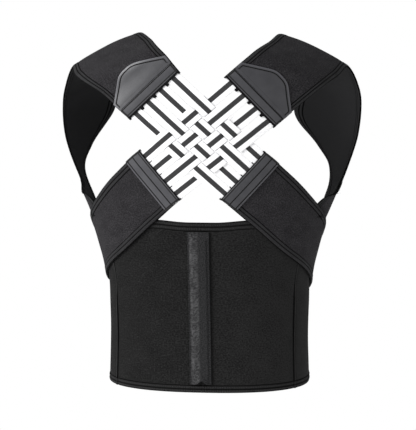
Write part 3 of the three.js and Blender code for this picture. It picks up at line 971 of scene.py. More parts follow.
@dataclass(frozen=True)
class ElasticFinish:
    """Pale ribbed elastic with one dark stripe down its middle and painted shade along its edges."""

    name: str = "striped_elastic"
    pale: tuple = grey(246, 1)
    shadow: tuple = grey(236, 2)
    stripe: tuple = grey(43, 1)
    stripe_light: tuple = grey(54, 1)
    stripe_half: float = 3.05
    half_width: float = 9.4
    rib_pitch: float = 0.95
    pick_pitch: float = 0.8

    def material(self) -> bpy.types.Material:
        """The finish as a material; across runs from the middle of the band.

        Returns:
            The material.
        """
        tree = FinishTree(self.name)
        along, across = tree.along_and_across()
        rib = across.wave(self.rib_pitch)
        fuzz = tree.grain(0.9, 2.0, 0.6)
        wide = tree.grain(12.0, 2.0, 0.5)
        white = tree.between(self.shadow, self.pale, (rib * 0.45 + fuzz * 0.4 + wide * 0.35).rise())
        black = tree.between(self.stripe, self.stripe_light, rib * 0.5 + fuzz * 0.5)
        inside = 1 - (abs(across) + (fuzz - 0.5) * 0.25).step(self.stripe_half)
        # Painted shade: the band darkens towards both its edges.
        edge_shade = abs(across).rise(self.half_width - 0.9, self.half_width - 0.2)
        colour = tree.between(tree.between(white, black, inside), self.shadow, edge_shade * 0.3)
        bump = tree.bump(rib * 0.7 + along.wave(self.pick_pitch) * 0.25 + fuzz * 0.2, 0.16, 0.7)
        return tree.skin(colour, fuzz * 0.15 + 0.72, Normal=bump, Specular_IOR_Level=0.3, Sheen_Weight=0.08)


@dataclass(frozen=True)
class HookFinish:
    """Stiff tape covered in rows of small hooks."""

    name: str = "hook_rows"
    base: tuple = grey(20, 1)
    hook: tuple = grey(48, 2)
    pitch: float = 1.6

    def material(self) -> bpy.types.Material:
        """The finish as a material.

        Returns:
            The material.
        """
        tree = FinishTree(self.name)
        along, across = tree.along_and_across()
        turn = 2 * math.pi / self.pitch
        dots = ((along * turn).sine() * (across * turn).sine()).rise(0.1, 0.7)
        fuzz = tree.grain(1.2, 2.0, 0.6)
        colour = tree.between(self.base, self.hook, dots * (fuzz * 0.5 + 0.6))
        bump = tree.bump(dots + fuzz * 0.3, 0.5, 0.9)
        return tree.skin(colour, fuzz * 0.2 + 0.55, Normal=bump, Specular_IOR_Level=0.4)


@dataclass(frozen=True)
class ThreadFinish:
    """Twisted sewing thread."""

    name: str
    dark: tuple = grey(4)
    light: tuple = grey(16, 1)

    def material(self) -> bpy.types.Material:
        """The finish as a material; it reads the place of each stitch.

        Returns:
            The material.
        """
        tree = FinishTree(self.name)
        tone = tree.noise(tree.place(), 420.0, 2.0, 0.6)
        colour = tree.between(self.dark, self.light, tone)
        bump = tree.bump(tone, 0.1, 0.6)
        return tree.skin(colour, tone * 0.2 + 0.6, Normal=bump, Specular_IOR_Level=0.08)


@dataclass(frozen=True)
class FloorFinish:
    """Plain pale floor that glows a little, so that it stays white."""

    name: str = "pale_floor"
    dark: tuple = grey(247)
    light: tuple = grey(252)
    glow: float = 0.4

    def material(self) -> bpy.types.Material:
        """The finish as a material.

        Returns:
            The material.
        """
        tree = FinishTree(self.name)
        colour = tree.between(self.dark, self.light, tree.noise(tree.place(), 3.0))
        glow = {"Emission_Color": (1, 1, 1, 1), "Emission_Strength": self.glow}
        return tree.skin(colour, 0.9, Specular_IOR_Level=0.1, **glow)


def distance_to(outline: Points, along: Values, across: Values) -> Values:
    """Distance of places to a closed outline.

    Args:
        outline: The outline's corners.
        along: The places' first coordinate.
        across: The places' second coordinate.

    Returns:
        The distances.
    """
    places = np.stack([along, across], axis=-1)
    found = np.full(len(places), np.inf)
    for first, second in zip(outline, np.roll(outline, -1, axis=0)):
        way = second - first
        share = np.clip((places - first) @ way / max(way @ way, 1e-9), 0, 1)
        found = np.minimum(found, np.linalg.norm(places - first - share[:, None] * way, axis=1))
    return found


@dataclass
class Slab:
    """A closed piece of cloth, tape or leather: a flat grid given a thickness, then laid on its surface.

    The surface and the measure take shares along and across the piece; the surface also takes the share
    through its thickness, 0 inside and 1 outside.
    """

    name: str
    rows: int
    columns: int
    surface: Surface
    measure: Measure
    rim: float
    outline: Points | None = None
    rim_angle: float = 0.9
    rim_segments: int = 3

    def edge_distance(self, along: Values, across: Values) -> Values:
        """Distance of each place to the piece's edge, in millimetres of its cut.

        Args:
            along: Millimetres along the cut.
            across: Millimetres across the cut.

        Returns:
            The distances.
        """
        if self.outline is not None:
            return distance_to(self.outline, along, across)
        ends = [self.measure(np.array([share]), np.array([share])) for share in (0.0, 1.0)]
        start, end = along - ends[0][0], ends[1][0] - along
        low, high = across - ends[0][1], ends[1][1] - across
        return np.minimum(np.minimum(start, end), np.minimum(low, high))

    def build_flat(self) -> bpy.types.Mesh:
        """A flat block with a grid on both faces, from 0 to 1 each way.

        Returns:
            Its mesh.
        """
        flat = bmesh.new()
        bmesh.ops.create_grid(flat, x_segments=self.rows, y_segments=self.columns, size=0.5)
        raised = bmesh.ops.extrude_face_region(flat, geom=flat.faces[:], use_keep_orig=True)
        lifted = [part for part in raised["geom"] if isinstance(part, bmesh.types.BMVert)]
        bmesh.ops.translate(flat, vec=(0, 0, 1), verts=lifted)
        bmesh.ops.translate(flat, vec=(0.5, 0.5, 0), verts=flat.verts[:])
        mesh = bpy.data.meshes.new(self.name)
        flat.to_mesh(mesh)
        flat.free()
        return mesh

    def round_rims(self, mesh: bpy.types.Mesh) -> None:
        """Rounds the piece's rims and smooths its faces.

        Args:
            mesh: The piece's mesh.
        """
        worked = bmesh.new()
        worked.from_mesh(mesh)
        bmesh.ops.recalc_face_normals(worked, faces=worked.faces[:])
        paired = [edge for edge in worked.edges if len(edge.link_faces) == 2]
        bmesh.ops.bevel(
            worked,
            geom=[edge for edge in paired if edge.calc_face_angle(0) > self.rim_angle],
            offset=self.rim * MM,
            offset_type="OFFSET",
            segments=self.rim_segments,
            profile=0.5,
            affect="EDGES",
            material=-1,
        )
        bmesh.ops.recalc_face_normals(worked, faces=worked.faces[:])
        for face in worked.faces:
            face.smooth = True
        worked.to_mesh(mesh)
        worked.free()

    def build(self, form: Form, finish: bpy.types.Material, slot: str, *nodes: str) -> bpy.types.Object:
        """Makes the piece and says what it stands for.

        Args:
            form: The form that carries it.
            finish: Its material.
            slot: A name handed on to settle.
            nodes: The frame's nodes that it stands for.

        Returns:
            The piece, at the origin, with its place in its mesh.
        """
        mesh = self.build_flat()
        places = np.empty(len(mesh.vertices) * 3, np.float32)
        mesh.vertices.foreach_get("co", places)
        u, v, through = places.reshape(-1, 3).astype(float).T
        along, across = self.measure(u, v)
        corner = np.empty(len(mesh.loops), np.int32)
        mesh.loops.foreach_get("vertex_index", corner)
        pattern = np.stack([along, across], axis=-1)[corner] * MM
        mesh.uv_layers.new(name="cut").data.foreach_set("uv", as_floats(pattern))
        for name, values in (("inner", 1 - through), ("edge", self.edge_distance(along, across))):
            mesh.attributes.new(name, "FLOAT", "POINT").data.foreach_set("value", as_floats(values))
        mesh.vertices.foreach_set("co", as_floats(form.placed(self.surface(u, v, through))))
        self.round_rims(mesh)
        mesh.materials.append(finish)
        return settle(shown(self.name, mesh), slot, *nodes)


def settle(piece: bpy.types.Object, slot: str, *nodes: str) -> bpy.types.Object:
    """Puts a piece on the brace's one body and says what it stands for.

    Args:
        piece: The finished piece.
        slot: Not used.
        nodes: The frame's nodes that it stands for.

    Returns:
        The same piece.
    """
    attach(piece, "root")
    if nodes:
        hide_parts(*nodes)
    log.info("%s: %d faces, for %s", piece.name, len(piece.data.polygons), ", ".join(nodes) or "no node")
    return piece


def read_line(places: Values, walked: Values, points: Points) -> Points:
    """Points of a line at distances walked along it."""
    return np.stack([np.interp(places, walked, column) for column in points.T], axis=-1)


@dataclass
class Stitching:
    """Stitches of one sub-assembly, gathered into one mesh; sizes in millimetres."""

    name: str
    form: Form
    finish: bpy.types.Material
    length: float = 2.3
    width: float = 0.62
    height: float = 0.5
    centres: list[Points] = field(default_factory=list)
    turns: list[Points] = field(default_factory=list)

    def run(self, points: Points, outs: Points, pitch: float = 3.1) -> None:
        """Adds a row of stitches along a line.

        Args:
            points: The line, in millimetres.
            outs: The way out of the cloth at each point.
            pitch: Distance between stitches.
        """
        walked = lengths_along(points)
        count = max(int((walked[-1] - pitch * 0.6) / pitch), 1)
        places = (np.arange(count) + 0.5) * walked[-1] / count
        way = unit(read_line(places + 0.5, walked, points) - read_line(places - 0.5, walked, points))
        out = unit(read_line(places, walked, outs))
        out = unit(out - way * np.sum(out * way, axis=1, keepdims=True))
        self.centres.append(read_line(places, walked, points))
        self.turns.append(np.stack([way, np.cross(out, way), out], axis=-1))

    def sew(self, surface: Surface, u: Values, v: Values, pitch: float = 3.1, both: bool = False) -> None:
        """Adds a row of stitches over a piece's face.

        Args:
            surface: The piece's surface.
            u: The row's places along the piece, as shares.
            v: The row's places across the piece, as shares.
            pitch: Distance between stitches.
            both: Whether the stitches also show inside.
        """
        face, inside = surface(u, v, np.ones_like(u)), surface(u, v, np.zeros_like(u))
        self.run(face, face - inside, pitch)
        if both:
            self.run(inside, inside - face, pitch)

    def build(self, slot: str) -> None:
        """Makes the stitches: one rounded grain, repeated at every place.

        Args:
            slot: A name handed on to settle.
        """
        grain = bmesh.new()
        bmesh.ops.create_uvsphere(grain, u_segments=6, v_segments=4, radius=0.5)
        bmesh.ops.scale(grain, vec=(self.length, self.width, self.height), verts=grain.verts[:])
        for face in grain.faces:
            face.smooth = True
        pattern = bpy.data.meshes.new("stitch_grain")
        grain.to_mesh(pattern)
        grain.free()
        corners = np.empty(len(pattern.vertices) * 3, np.float32)
        pattern.vertices.foreach_get("co", corners)
        centres, turns = np.concatenate(self.centres), np.concatenate(self.turns)
        many = bmesh.new()
        for _ in range(len(centres)):
            many.from_mesh(pattern)
        mesh = bpy.data.meshes.new(self.name)
        many.to_mesh(mesh)
        many.free()
        bpy.data.meshes.remove(pattern)
        turned = np.einsum("nij,kj->nki", turns, corners.reshape(-1, 3).astype(float))
        points = (turned + centres[:, None, :]).reshape(-1, 3)
        mesh.vertices.foreach_set("co", as_floats(self.form.placed(points)))
        mesh.materials.append(self.finish)
        settle(shown(self.name, mesh), slot)


def quilted(place: Values, seams: tuple[float, ...], rise: float, reach: float = 1.3) -> Values:
    """Relief of a stitched tape: it dips to nothing at its seams and stands up between them."""
    return rise * ease(0, reach, np.min([np.abs(place - seam) for seam in seams], axis=0))


class TapeEdge(NamedTuple):
    """One taped edge of the belt: its name, its tape's width, seams and rows of pale stitches."""

    name: str
    width: float
    seams: tuple[float, ...]
    pale_rows: tuple[float, ...]


@dataclass
class Belt:
    """The belt round the waist: back panel, flaps, tapes, welts, spine sleeve and hook tape."""

    form: Form
    sizes: BeltSizes
    cloth: bpy.types.Material
    thread: bpy.types.Material
    pale_thread: bpy.types.Material
    cloth_inset: float = 0.3
    cloth_under_tape: float = 1.5
    cloth_under_welt: float = 1.2
    swell_size: float = 0.28
    # Dark tape lines from the outer edge: the first and last are painted shade at its edges, the middle one
    # stitched.
    hem_seam_and_shade_lines: tuple[float, ...] = (0.4, 4.6, 9.4)
    hem_rows: tuple[float, ...] = (2.6, 7.0)
    top_seam_and_shade_lines: tuple[float, ...] = (0.4, 5.6, 10.9)
    top_rows: tuple[float, ...] = (3.1, 8.2)
    tape_relief: float = 0.2
    tape_pitch: float = 3.0
    lifts: tuple[float, float] = (0.12, 0.36)
    welt_seams: tuple[float, ...] = (0.5, 4.1)
    welt_calm: tuple[float, float] = (0.5, 0.62)
    welt_crown: float = 0.35
    hook_height: float = 138.0
    flap_end_rows: tuple[float, ...] = (4.0, 7.0)
    sleeve_width: float = 29.0
    sleeve_length: float = 189.5
    sleeve_shift: float = 1.4
    sleeve_skin: float = 1.4
    sleeve_hollow: float = 2.0
    sleeve_lean: float = 3.0
    sleeve_arch: float = 5.0
    sleeve_flare: float = 2.4
    sleeve_foot: float = 0.8
    sleeve_top: float = 0.6
    sleeve_seams: tuple[float, float] = (1.2, 26.0)

    def __post_init__(self) -> None:
        """Works out the turns at which the pieces meet, and starts the stitches."""
        self.girth = self.form.girth_per_turn(self.sizes.seam_turn, self.sizes.height / 2)
        self.half_welt = self.sizes.welt_width / 2 / self.girth
        slit = GAP / self.girth
        self.panel_edge = self.sizes.seam_turn - self.half_welt - slit
        self.flap_edge = self.sizes.seam_turn + self.half_welt + slit
        self.stitches = Stitching("belt_stitches", self.form, self.thread)
        self.pale_stitches = Stitching("belt_pale_stitches", self.form, self.pale_thread, 1.5, 0.8, 0.45)

    def laid(self, turn: Values, height: Values, offset: Values) -> Points:
        """Points of the belt, with the right flap lifted over the left one."""
        return self.form.on_form(turn, height, self.sizes.lift(turn) + offset)

    def swell(self, turn: Values, height: Values) -> Values:
        """Slow swells in the worn cloth."""
        share = height / self.sizes.height
        calm = ease(0.04, 0.25, share) * (1 - ease(0.75, 0.95, share))
        wave = np.sin(turn * 23 + share * 5) * np.sin(share * 9 - turn * 7)
        return self.swell_size * calm * (wave + 0.6 * np.sin(turn * 51 - share * 13))

    def build_part(self, name: str, node: str, start: float, end: float) -> None:
        """Makes one of the belt's three cloth parts and its two tapes.

        Args:
            name: The part's name.
            node: The frame's node that it stands for.
            start: The turn where it starts.
            end: The turn where it ends.
        """
        sizes, under = self.sizes, self.cloth_under_tape
        whole = name == "back"
        hide = self.cloth_under_welt / self.girth * math.copysign(1, end - start)
        first, last = start - hide, end + (hide if whole else 0)

        def surface(u: Values, v: Values, through: Values) -> Points:
            """Points of the cloth, which runs a little way under its tapes and welts."""
            turn = mix(first, last, u)
            height = mix(sizes.hem_tape - under, sizes.top(turn) - sizes.top_tape + under, v)
            skin = mix(self.cloth_inset, CLOTH - self.cloth_inset, through) + self.swell(turn, height)
            return self.laid(turn, height, skin)

        def measure(u: Values, v: Values) -> tuple[Values, Values]:
            """Millimetres round the form, and above the hem."""
            turn = mix(first, last, u)
            return turn * self.girth, mix(sizes.hem_tape, sizes.top(turn) - sizes.top_tape, v)

        slab = Slab(f"{node}_cloth", 90 if whole else 110, 56, surface, measure, 0.5)
        piece = slab.build(self.form, self.cloth, "cloth", node)
        edges = (
            TapeEdge("hem", sizes.hem_tape, self.hem_seam_and_shade_lines, self.hem_rows),
            TapeEdge("top", sizes.top_tape, self.top_seam_and_shade_lines, self.top_rows),
        )
        tapes = [self.build_tape(name, start, end, edge) for edge in edges]

    def build_tape(self, name: str, start: float, end: float, edge: TapeEdge) -> bpy.types.Object:
        """Makes the folded tape on one edge of a cloth part.

        Args:
            name: The part's name.
            start: The turn where it starts.
            end: The turn where it ends.
            edge: The edge.

        Returns:
            The tape.
        """

        def level(turn: Values, place: Values) -> Values:
            """Height above the hem of a place counted from the tape's outer edge."""
            return place if edge.name == "hem" else self.sizes.top(turn) - place

        def surface(u: Values, v: Values, through: Values) -> Points:
            """Points of the tape."""
            turn = mix(start, end, u)
            relief = (2 * through - 1) * quilted(v * edge.width, edge.seams, self.tape_relief)
            return self.laid(turn, level(turn, v * edge.width), mix(-0.05, CLOTH, through) + relief)

        def measure(u: Values, v: Values) -> tuple[Values, Values]:
            """Millimetres round the form, and from the outer edge."""
            return mix(start, end, u) * self.girth, v * edge.width

        finish = TapeFinish(f"{name}_{edge.name}_tape_finish", edge.seams).material()
        slab = Slab(f"{name}_{edge.name}_tape", 130, 14, surface, measure, 0.9)
        tape = slab.build(self.form, finish, "binding", f"{name}_{edge.name}_binding")
        turn = np.linspace(start, end, 260)
        rows = [(edge.seams[1], self.stitches, self.lifts[0])]
        rows += [(place, self.pale_stitches, self.lifts[1]) for place in edge.pale_rows]
        for place, stitches, lift in rows:
            line, above = (self.laid(turn, level(turn, place), CLOTH + lift + more) for more in (0, 1))
            stitches.run(line, above - line, self.tape_pitch)
        return tape

    def build_welt(self, side: Side) -> None:
        """Makes the raised welt over one side seam, with its stitches.

        Args:
            side: The side.
        """
        sizes = self.sizes

        def turn_at(v: Values) -> Values:
            """The turn of a place across the welt."""
            return side.value * (sizes.seam_turn + (2 * v - 1) * self.half_welt)

        def surface(u: Values, v: Values, through: Values) -> Points:
            """Points of the welt."""
            height = u * sizes.top(turn_at(v))
            rise = sizes.welt_rise * (1 - ease(*self.welt_calm, height / sizes.height))
            crown = self.welt_crown * np.sin(np.pi * v) * ease(0, 0.05, u)
            return self.form.on_form(turn_at(v), height, through * (CLOTH + rise + crown))

        def measure(u: Values, v: Values) -> tuple[Values, Values]:
            """Millimetres above the hem, and across the welt."""
            return u * sizes.height, v * sizes.welt_width

        tones = {"light": grey(50), "seam_half": 0.9}
        finish = TapeFinish(f"{side.label}_welt_finish", self.welt_seams, crossings=self.hem_seam_and_shade_lines, **tones)
        slab = Slab(f"{side.label}_welt_tape", 90, 8, surface, measure, 0.7)
        slab.build(self.form, finish.material(), "binding", f"{side.label}_side_welt")
        share = np.linspace(0.055, 0.52, 120)
        for seam in self.welt_seams:
            v = np.full_like(share, seam / sizes.welt_width)
            line = surface(share, v, np.ones_like(share))
            self.stitches.run(line, self.form.outward(turn_at(v)), 2.8)

    def build_sleeve(self) -> None:
        """Makes the sleeve down the spine, with creases, a flared and arched mouth, and its stitches."""
        sizes, width = self.sizes, self.sleeve_width

        def surface(u: Values, v: Values, through: Values) -> Points:
            """Points of the sleeve, u from its mouth at the hem.

            Args:
                u: Shares along it.
                v: Shares across it.
                through: Shares through its thickness.

            Returns:
                The points, in millimetres.
            """
            across = v - 0.5
            away = np.abs(across)
            foot = sizes.hem_tape + self.sleeve_foot + self.sleeve_arch * bell(across, 0.03, 0.17)
            height = mix(foot, sizes.top(0.0) - sizes.top_tape - self.sleeve_top, u)
            hollow = self.sleeve_hollow * (1 - ease(0.3, 0.38, away)) * (1 - ease(0.94, 0.97, u))
            mouth = (1 - ease(0, 0.05, u)) * (1 - ease(0.1, 0.34, np.abs(across - 0.05)))
            crease = np.sin(u * 61 + v * 4) * np.sin(u * 23 - v * 6) + 0.7 * np.sin(u * 97 - v * 9)
            crease = 0.16 * crease * (1 - ease(0.25, 0.42, away))
            full = hollow + self.sleeve_flare * mouth + crease + 0.35 * bell(across, -0.2, 0.16)
            place = across * width - self.sleeve_shift - u * self.sleeve_lean
            return self.form.on_back(place, height, CLOTH + GAP + full + through * self.sleeve_skin)

        def measure(u: Values, v: Values) -> tuple[Values, Values]:
            """Millimetres up the sleeve, and from its left edge."""
            return u * self.sleeve_length, v * width

        slab = Slab("spine_sleeve_cloth", 110, 30, surface, measure, 0.45)
        piece = slab.build(self.form, SleeveFinish(width).material(), "sleeve", "spine_sleeve")
        width * MM
        share = np.linspace(0.01, 0.99, 160)
        for across, stitches in zip(self.sleeve_seams, (self.stitches, self.pale_stitches)):
            line = surface(share, np.full_like(share, across / width), np.ones_like(share))
            stitches.run(line, np.tile([0.0, -1.0, 0.0], (len(share), 1)), 2.9)

    def build_hook_tape(self) -> None:
        """Makes the hook tape between the two flaps at the front."""
        sizes = self.sizes

        def surface(u: Values, v: Values, through: Values) -> Points:
            """Points of the tape."""
            turn = mix(sizes.tape_turn, 2 - sizes.tape_turn, u)
            height = mix(sizes.hem_tape * 2, sizes.top(turn) - sizes.top_tape * 2, v)
            return self.form.on_form(turn, height, CLOTH + GAP + through * sizes.hook_tape)

        def measure(u: Values, v: Values) -> tuple[Values, Values]:
            """Millimetres round the form, and up the tape."""
            return u * (2 - 2 * sizes.tape_turn) * self.girth, v * self.hook_height

        slab = Slab("hook_tape_strip", 40, 60, surface, measure, 0.3)
        slab.build(self.form, HookFinish().material(), "hook", "hook_tape")

    def stitch_flap_ends(self) -> None:
        """Sews rows of stitches down the free end of each flap."""
        sizes = self.sizes
        for end, way in ((sizes.flap_end, -1), (-sizes.flap_end, 1)):
            for inset in self.flap_end_rows:
                turn = end + way * inset / self.girth
                height = np.linspace(sizes.hem_tape + 2, float(sizes.top(turn)) - sizes.top_tape - 2, 120)
                line = self.laid(np.full_like(height, turn), height, CLOTH - 0.2)
                self.stitches.run(line, self.form.outward(np.full_like(height, turn)), 3.1)

    def build(self) -> None:
        """Makes the whole belt."""
        self.build_hook_tape()
        self.build_part("back", "back_panel", -self.panel_edge, self.panel_edge)
        self.build_part("right", "right_flap", self.flap_edge, self.sizes.flap_end)
        self.build_part("left", "left_flap", -self.flap_edge, -self.sizes.flap_end)
        for side in Side:
            self.build_welt(side)
        self.build_sleeve()
        self.stitch_flap_ends()
        self.stitches.build("binding")
        self.pale_stitches.build("binding")


@dataclass
class Strap:
    """One strap: its cloth, the folded tapes on both edges, and their stitches."""

    form: Form
    run: StrapRun
    cloth: bpy.types.Material
    thread: bpy.types.Material
    name: str
    node: str
    edges: tuple[str, str]
    flat: tuple[float, float]
    rows: int
    binding_share: float = 0.1
    seam_shares: tuple[float, float] = (0.52, 0.9)
    end_rows: tuple[float, ...] = ()
    dark: tuple = grey(26, 1)
    light: tuple = grey(56, 1)
    relief: float = 0.15
    relief_reach: float = 1.2
    edge_fall: float = 0.9
    edge_round: float = 3.5
    under_tape: float = 0.012

    def __post_init__(self) -> None:
        """Starts the strap's stitches and sets its seams out."""
        self.stitches = Stitching(f"{self.name}_stitches", self.form, self.thread)
        self.tape_width = self.binding_share * self.run.width()
        self.seams = tuple(share * self.tape_width for share in self.seam_shares)

    def swell(self, u: Values, v: Values) -> Values:
        """Soft fullness between the tapes, and slow waves along the strap."""
        calm = ease(0.0, 0.1, u) * (1 - ease(0.93, 1.0, u))
        full = np.sin(np.pi * v) ** 0.6 * 0.35
        wave = np.sin(u * 19 + v * 3.1) * np.sin(v * 5 - u * 8) + 0.5 * np.sin(u * 41 - v * 6)
        return calm * (full + 0.3 * wave * np.sin(np.pi * v))

    def cloth_surface(self, u: Values, v: Values, through: Values) -> Points:
        """Points of the cloth, which runs a little way under both tapes."""
        reach = self.binding_share - self.under_tape
        offset = mix(-CLOTH / 2 + 0.25, CLOTH / 2 - 0.3, through) + self.swell(u, v)
        return self.run.surface(u * self.run.last, mix(reach, 1 - reach, v), offset)

    def build_tape(self, edge: str, low: bool, finish: bpy.types.Material) -> bpy.types.Object:
        """Makes the tape on one edge, with its stitches on both faces.

        Args:
            edge: The edge's name.
            low: Whether it is the edge from which the strap's lines are counted.
            finish: The tape's material.

        Returns:
            The tape.
        """
        width = self.tape_width

        def surface(u: Values, v: Values, through: Values) -> Points:
            """Points of the tape; v is 0 at the strap's outer edge, which is rounded off.

            Args:
                u: Shares along it.
                v: Shares across it.
                through: Shares through its thickness.

            Returns:
                The points, in millimetres.
            """
            across = v * self.binding_share if low else 1 - v * self.binding_share
            ridge = quilted(v * width, self.seams, self.relief, self.relief_reach)
            fall = self.edge_fall * through * (1 - ease(0, self.edge_round, v * width))
            offset = mix(-CLOTH / 2, CLOTH / 2, through) + (2 * through - 1) * ridge - fall
            return self.run.surface(u * self.run.last, across, offset)

        def measure(u: Values, v: Values) -> tuple[Values, Values]:
            """Millimetres along the strap, and from its outer edge."""
            return self.run.measure(u, v)[0], v * width

        slab = Slab(f"{self.name}_{edge}_tape", self.rows, 12, surface, measure, 0.9)
        tape = slab.build(self.form, finish, "binding", f"{self.node}_{edge}_binding")
        u = np.linspace(0.0, 1.0, 600)
        for share in self.seam_shares:
            self.stitches.sew(surface, u, np.full_like(u, share), both=True)
        return tape

    def build(self) -> None:
        """Makes the cloth, its tapes and their stitches."""
        slab = Slab(f"{self.name}_cloth", self.rows, 30, self.cloth_surface, self.run.measure, 0.5)
        piece = slab.build(self.form, self.cloth, "cloth", self.node)
        tones = {"dark": self.dark, "light": self.light, "seam_half": 0.9}
        # The line 0.2 mm from the outer edge is painted shade along the tape's edge; the others are
        # stitched seams.
        finish = TapeFinish(f"{self.name}_tape_finish", (0.2, *self.seams), **tones).material()
        tapes = [self.build_tape(edge, low, finish) for edge, low in zip(self.edges, (True, False))]
        across = np.linspace(0.06, 0.94, 80)
        for place in self.end_rows:
            self.stitches.sew(self.cloth_surface, np.full_like(across, place), across, 3.0)
        self.stitches.build("binding")


class Patch(NamedTuple):
    """One leather part: the strap that carries it, where it starts and ends, its grid and its crown.

    Without an end it has the pad's rounded far edge.
    """

    name: str
    run: StrapRun
    start: float
    end: float | None
    grid: tuple[int, int]
    crown: float


@dataclass
class LeatherEnds:
    """Leather on one side's strap ends: a strip and a shaped pad above, a double strip below."""

    form: Form
    side: Side
    shoulder: StrapRun
    lower: StrapRun
    thread: bpy.types.Material
    thickness: float = 1.4
    over_bands: float = 1.8
    end_strip: float = 12.5
    lower_strip: float = 22.5
    pad_reach: float = 48.0
    step: tuple[float, float] = (9.8, 36.0)
    reach_across: tuple[float, ...] = (0.0, 0.34, 0.42, 0.56, 0.64, 1.0)
    reach_share: tuple[float, ...] = (0.52, 0.96, 1.0, 1.0, 0.95, 0.5)
    strip_seam: float = 11.3
    lower_seams: tuple[float, ...] = (11.0, 19.8)
    end_seam: float = 1.9
    side_seam: float = 2.4
    edge_seam: float = 3.6
    band_places: tuple[float, ...] = (0.25, 0.5, 0.75)
    tab_half: float = 1.9
    corner_tab: float = 1.8
    contrast: float = 13.0
    puff_reach: float = 9.0
    pitch: float = 2.7
    inset: float = 0.3

    def __post_init__(self) -> None:
        """Starts the leather's stitches."""
        self.label = self.side.label
        self.stitches = Stitching(f"{self.label}_leather_stitches", self.form, self.thread, 2.1, 0.9)

    def reach(self, v: Values) -> Values:
        """How far the pad reaches along the strap, with its corners rounded."""
        spread = np.linspace(-0.035, 0.035, 9)
        places = np.clip(v + spread[:, None], 0, 1)
        return self.pad_reach * np.mean(np.interp(places, self.reach_across, self.reach_share), axis=0)

    def skin(self, run: StrapRun, distance: Values, v: Values, above: Values) -> Points:
        """Points over a strap's end: over the elastic first, then down on the strap."""
        level = mix(self.over_bands, GAP, ease(*self.step, distance))
        return run.surface(run.station(run.tip + distance, v), v, CLOTH / 2 + level + above)

    def build_patch(self, patch: Patch, finish: LeatherFinish) -> None:
        """Makes one leather part.

        Args:
            patch: The part.
            finish: Its finish.
        """
        run, width = patch.run, patch.run.width()
        low, high = self.inset, width - self.inset

        def far_edge(v: Values) -> Values:
            """How far the part reaches along the strap."""
            return self.reach(v) if patch.end is None else np.full_like(v, patch.end)

        sides = np.linspace(low, high, 61)
        far = np.stack([far_edge(sides / width), sides], axis=-1)
        outline = np.vstack([[patch.start, low], far, [patch.start, high]])

        def measure(u: Values, v: Values) -> tuple[Values, Values]:
            """Millimetres from the strap's end, and from its first edge."""
            across = mix(low, high, v)
            return mix(patch.start, far_edge(across / width), u), across

        def surface(u: Values, v: Values, through: Values) -> Points:
            """Points of the part, which stands up a little between its edges."""
            distance, across = measure(u, v)
            puff = patch.crown * ease(0, self.puff_reach, distance_to(outline, distance, across)) * through
            return self.skin(run, distance, across / width, through * self.thickness + puff)

        slab = Slab(f"{self.label}_{patch.name}_leather", *patch.grid, surface, measure, 0.5, outline)
        node = f"{self.label}_{patch.name}" + ("_strip" if patch.end else "")
        slab.build(self.form, finish.material(), "leather", node)

    def strip_finish(
        self, name: str, run: StrapRun, seams: tuple[float, ...], rim_from: float, level: float
    ) -> LeatherFinish:
        """The finish of a strip, with seams across its end and along both its sides.

        Args:
            name: The strip's name in the finish's name.
            run: The strap that carries it.
            seams: Further seams across it.
            rim_from: Where its painted rim highlight starts.
            level: Its darker tone, 0 to 255.

        Returns:
            The finish.
        """
        sides = (self.side_seam, run.width() - self.side_seam)
        tones = {"dark": grey(level, 4), "light": grey(level + self.contrast, 4)}
        across = (self.end_seam, *seams)
        return LeatherFinish(f"{self.label}_{name}_leather", across, 0.0, sides, rim_from, **tones)

    def stitch(self, run: StrapRun, distance: Values, v: Values, crown: float = 0.1) -> None:
        """Sews a row of stitches over the leather, along places given by distance and line."""
        top, base = (self.skin(run, distance, v, self.thickness + crown - less + 0 * v) for less in (0, 1))
        self.stitches.run(top, top - base, self.pitch)

    def stitch_pad(self) -> None:
        """Sews the row of stitches that follows the pad's rim."""
        upper, width = self.shoulder, self.shoulder.width()
        margin = self.edge_seam / width
        sides = np.linspace(0, 1, 200)
        far = np.stack([self.reach(sides), sides * width], axis=-1)
        way = unit(np.gradient(far, axis=0))
        inner = far - np.stack([way[:, 1], -way[:, 0]], axis=-1) * self.edge_seam
        kept = inner[(inner[:, 1] > margin * width) & (inner[:, 1] < (1 - margin) * width)]
        self.stitch(upper, kept[:, 0], kept[:, 1] / width, 0.35)
        for v, end in ((margin, kept[0, 0]), (1 - margin, kept[-1, 0])):
            along = np.linspace(self.end_strip + 2, end, 20)
            self.stitch(upper, along, np.full_like(along, v), 0.35)

    def build(self) -> None:
        """Makes all leather of this side; the left lower strip is painted a little paler as painted light
        from the left.
        """
        upper, lower = self.shoulder, self.lower
        strip = self.strip_finish("strip", upper, (self.strip_seam,), 99.0, 53)
        rim_from = self.end_strip + 4.0
        pad = LeatherFinish(f"{self.label}_pad_leather", edge_seam=self.edge_seam, rim_from=rim_from)
        # Painted light: the left lower strip is painted paler, as the left side gets more light.
        level = 61 if self.side is Side.LEFT else 49
        low_strip = self.strip_finish("lower", lower, self.lower_seams, 19.0, level)
        self.build_patch(Patch("upper_end", upper, 0.0, self.end_strip, (8, 60), 0.12), strip)
        self.build_patch(Patch("upper_pad", upper, self.end_strip + GAP, None, (26, 64), 0.12), pad)
        self.build_patch(Patch("lower_end", lower, 0.0, self.lower_strip, (14, 60), 0.2), low_strip)
        across = np.linspace(0.03, 0.97, 90)
        self.stitch(upper, np.full_like(across, self.strip_seam), across)
        for seam in self.lower_seams:
            self.stitch(lower, np.full_like(across, seam), across, 0.25)
        self.stitch_pad()
        self.stitches.build("leather")
        self.build_edging(f"{self.label}_upper_end_edging", upper, 2.4, 3.4)
        self.build_edging(f"{self.label}_lower_end_edging", lower, 1.3, 0.0)

    def build_edging(self, name: str, run: StrapRun, reach: float, tab: float) -> None:
        """Makes the black edging along a leather end, with tabs between the bands and at the corners.

        Args:
            name: The piece's name.
            run: The strap that carries it.
            reach: How far the edging reaches past the leather.
            tab: How far the tabs between the bands reach past the edging.
        """
        width = run.width()

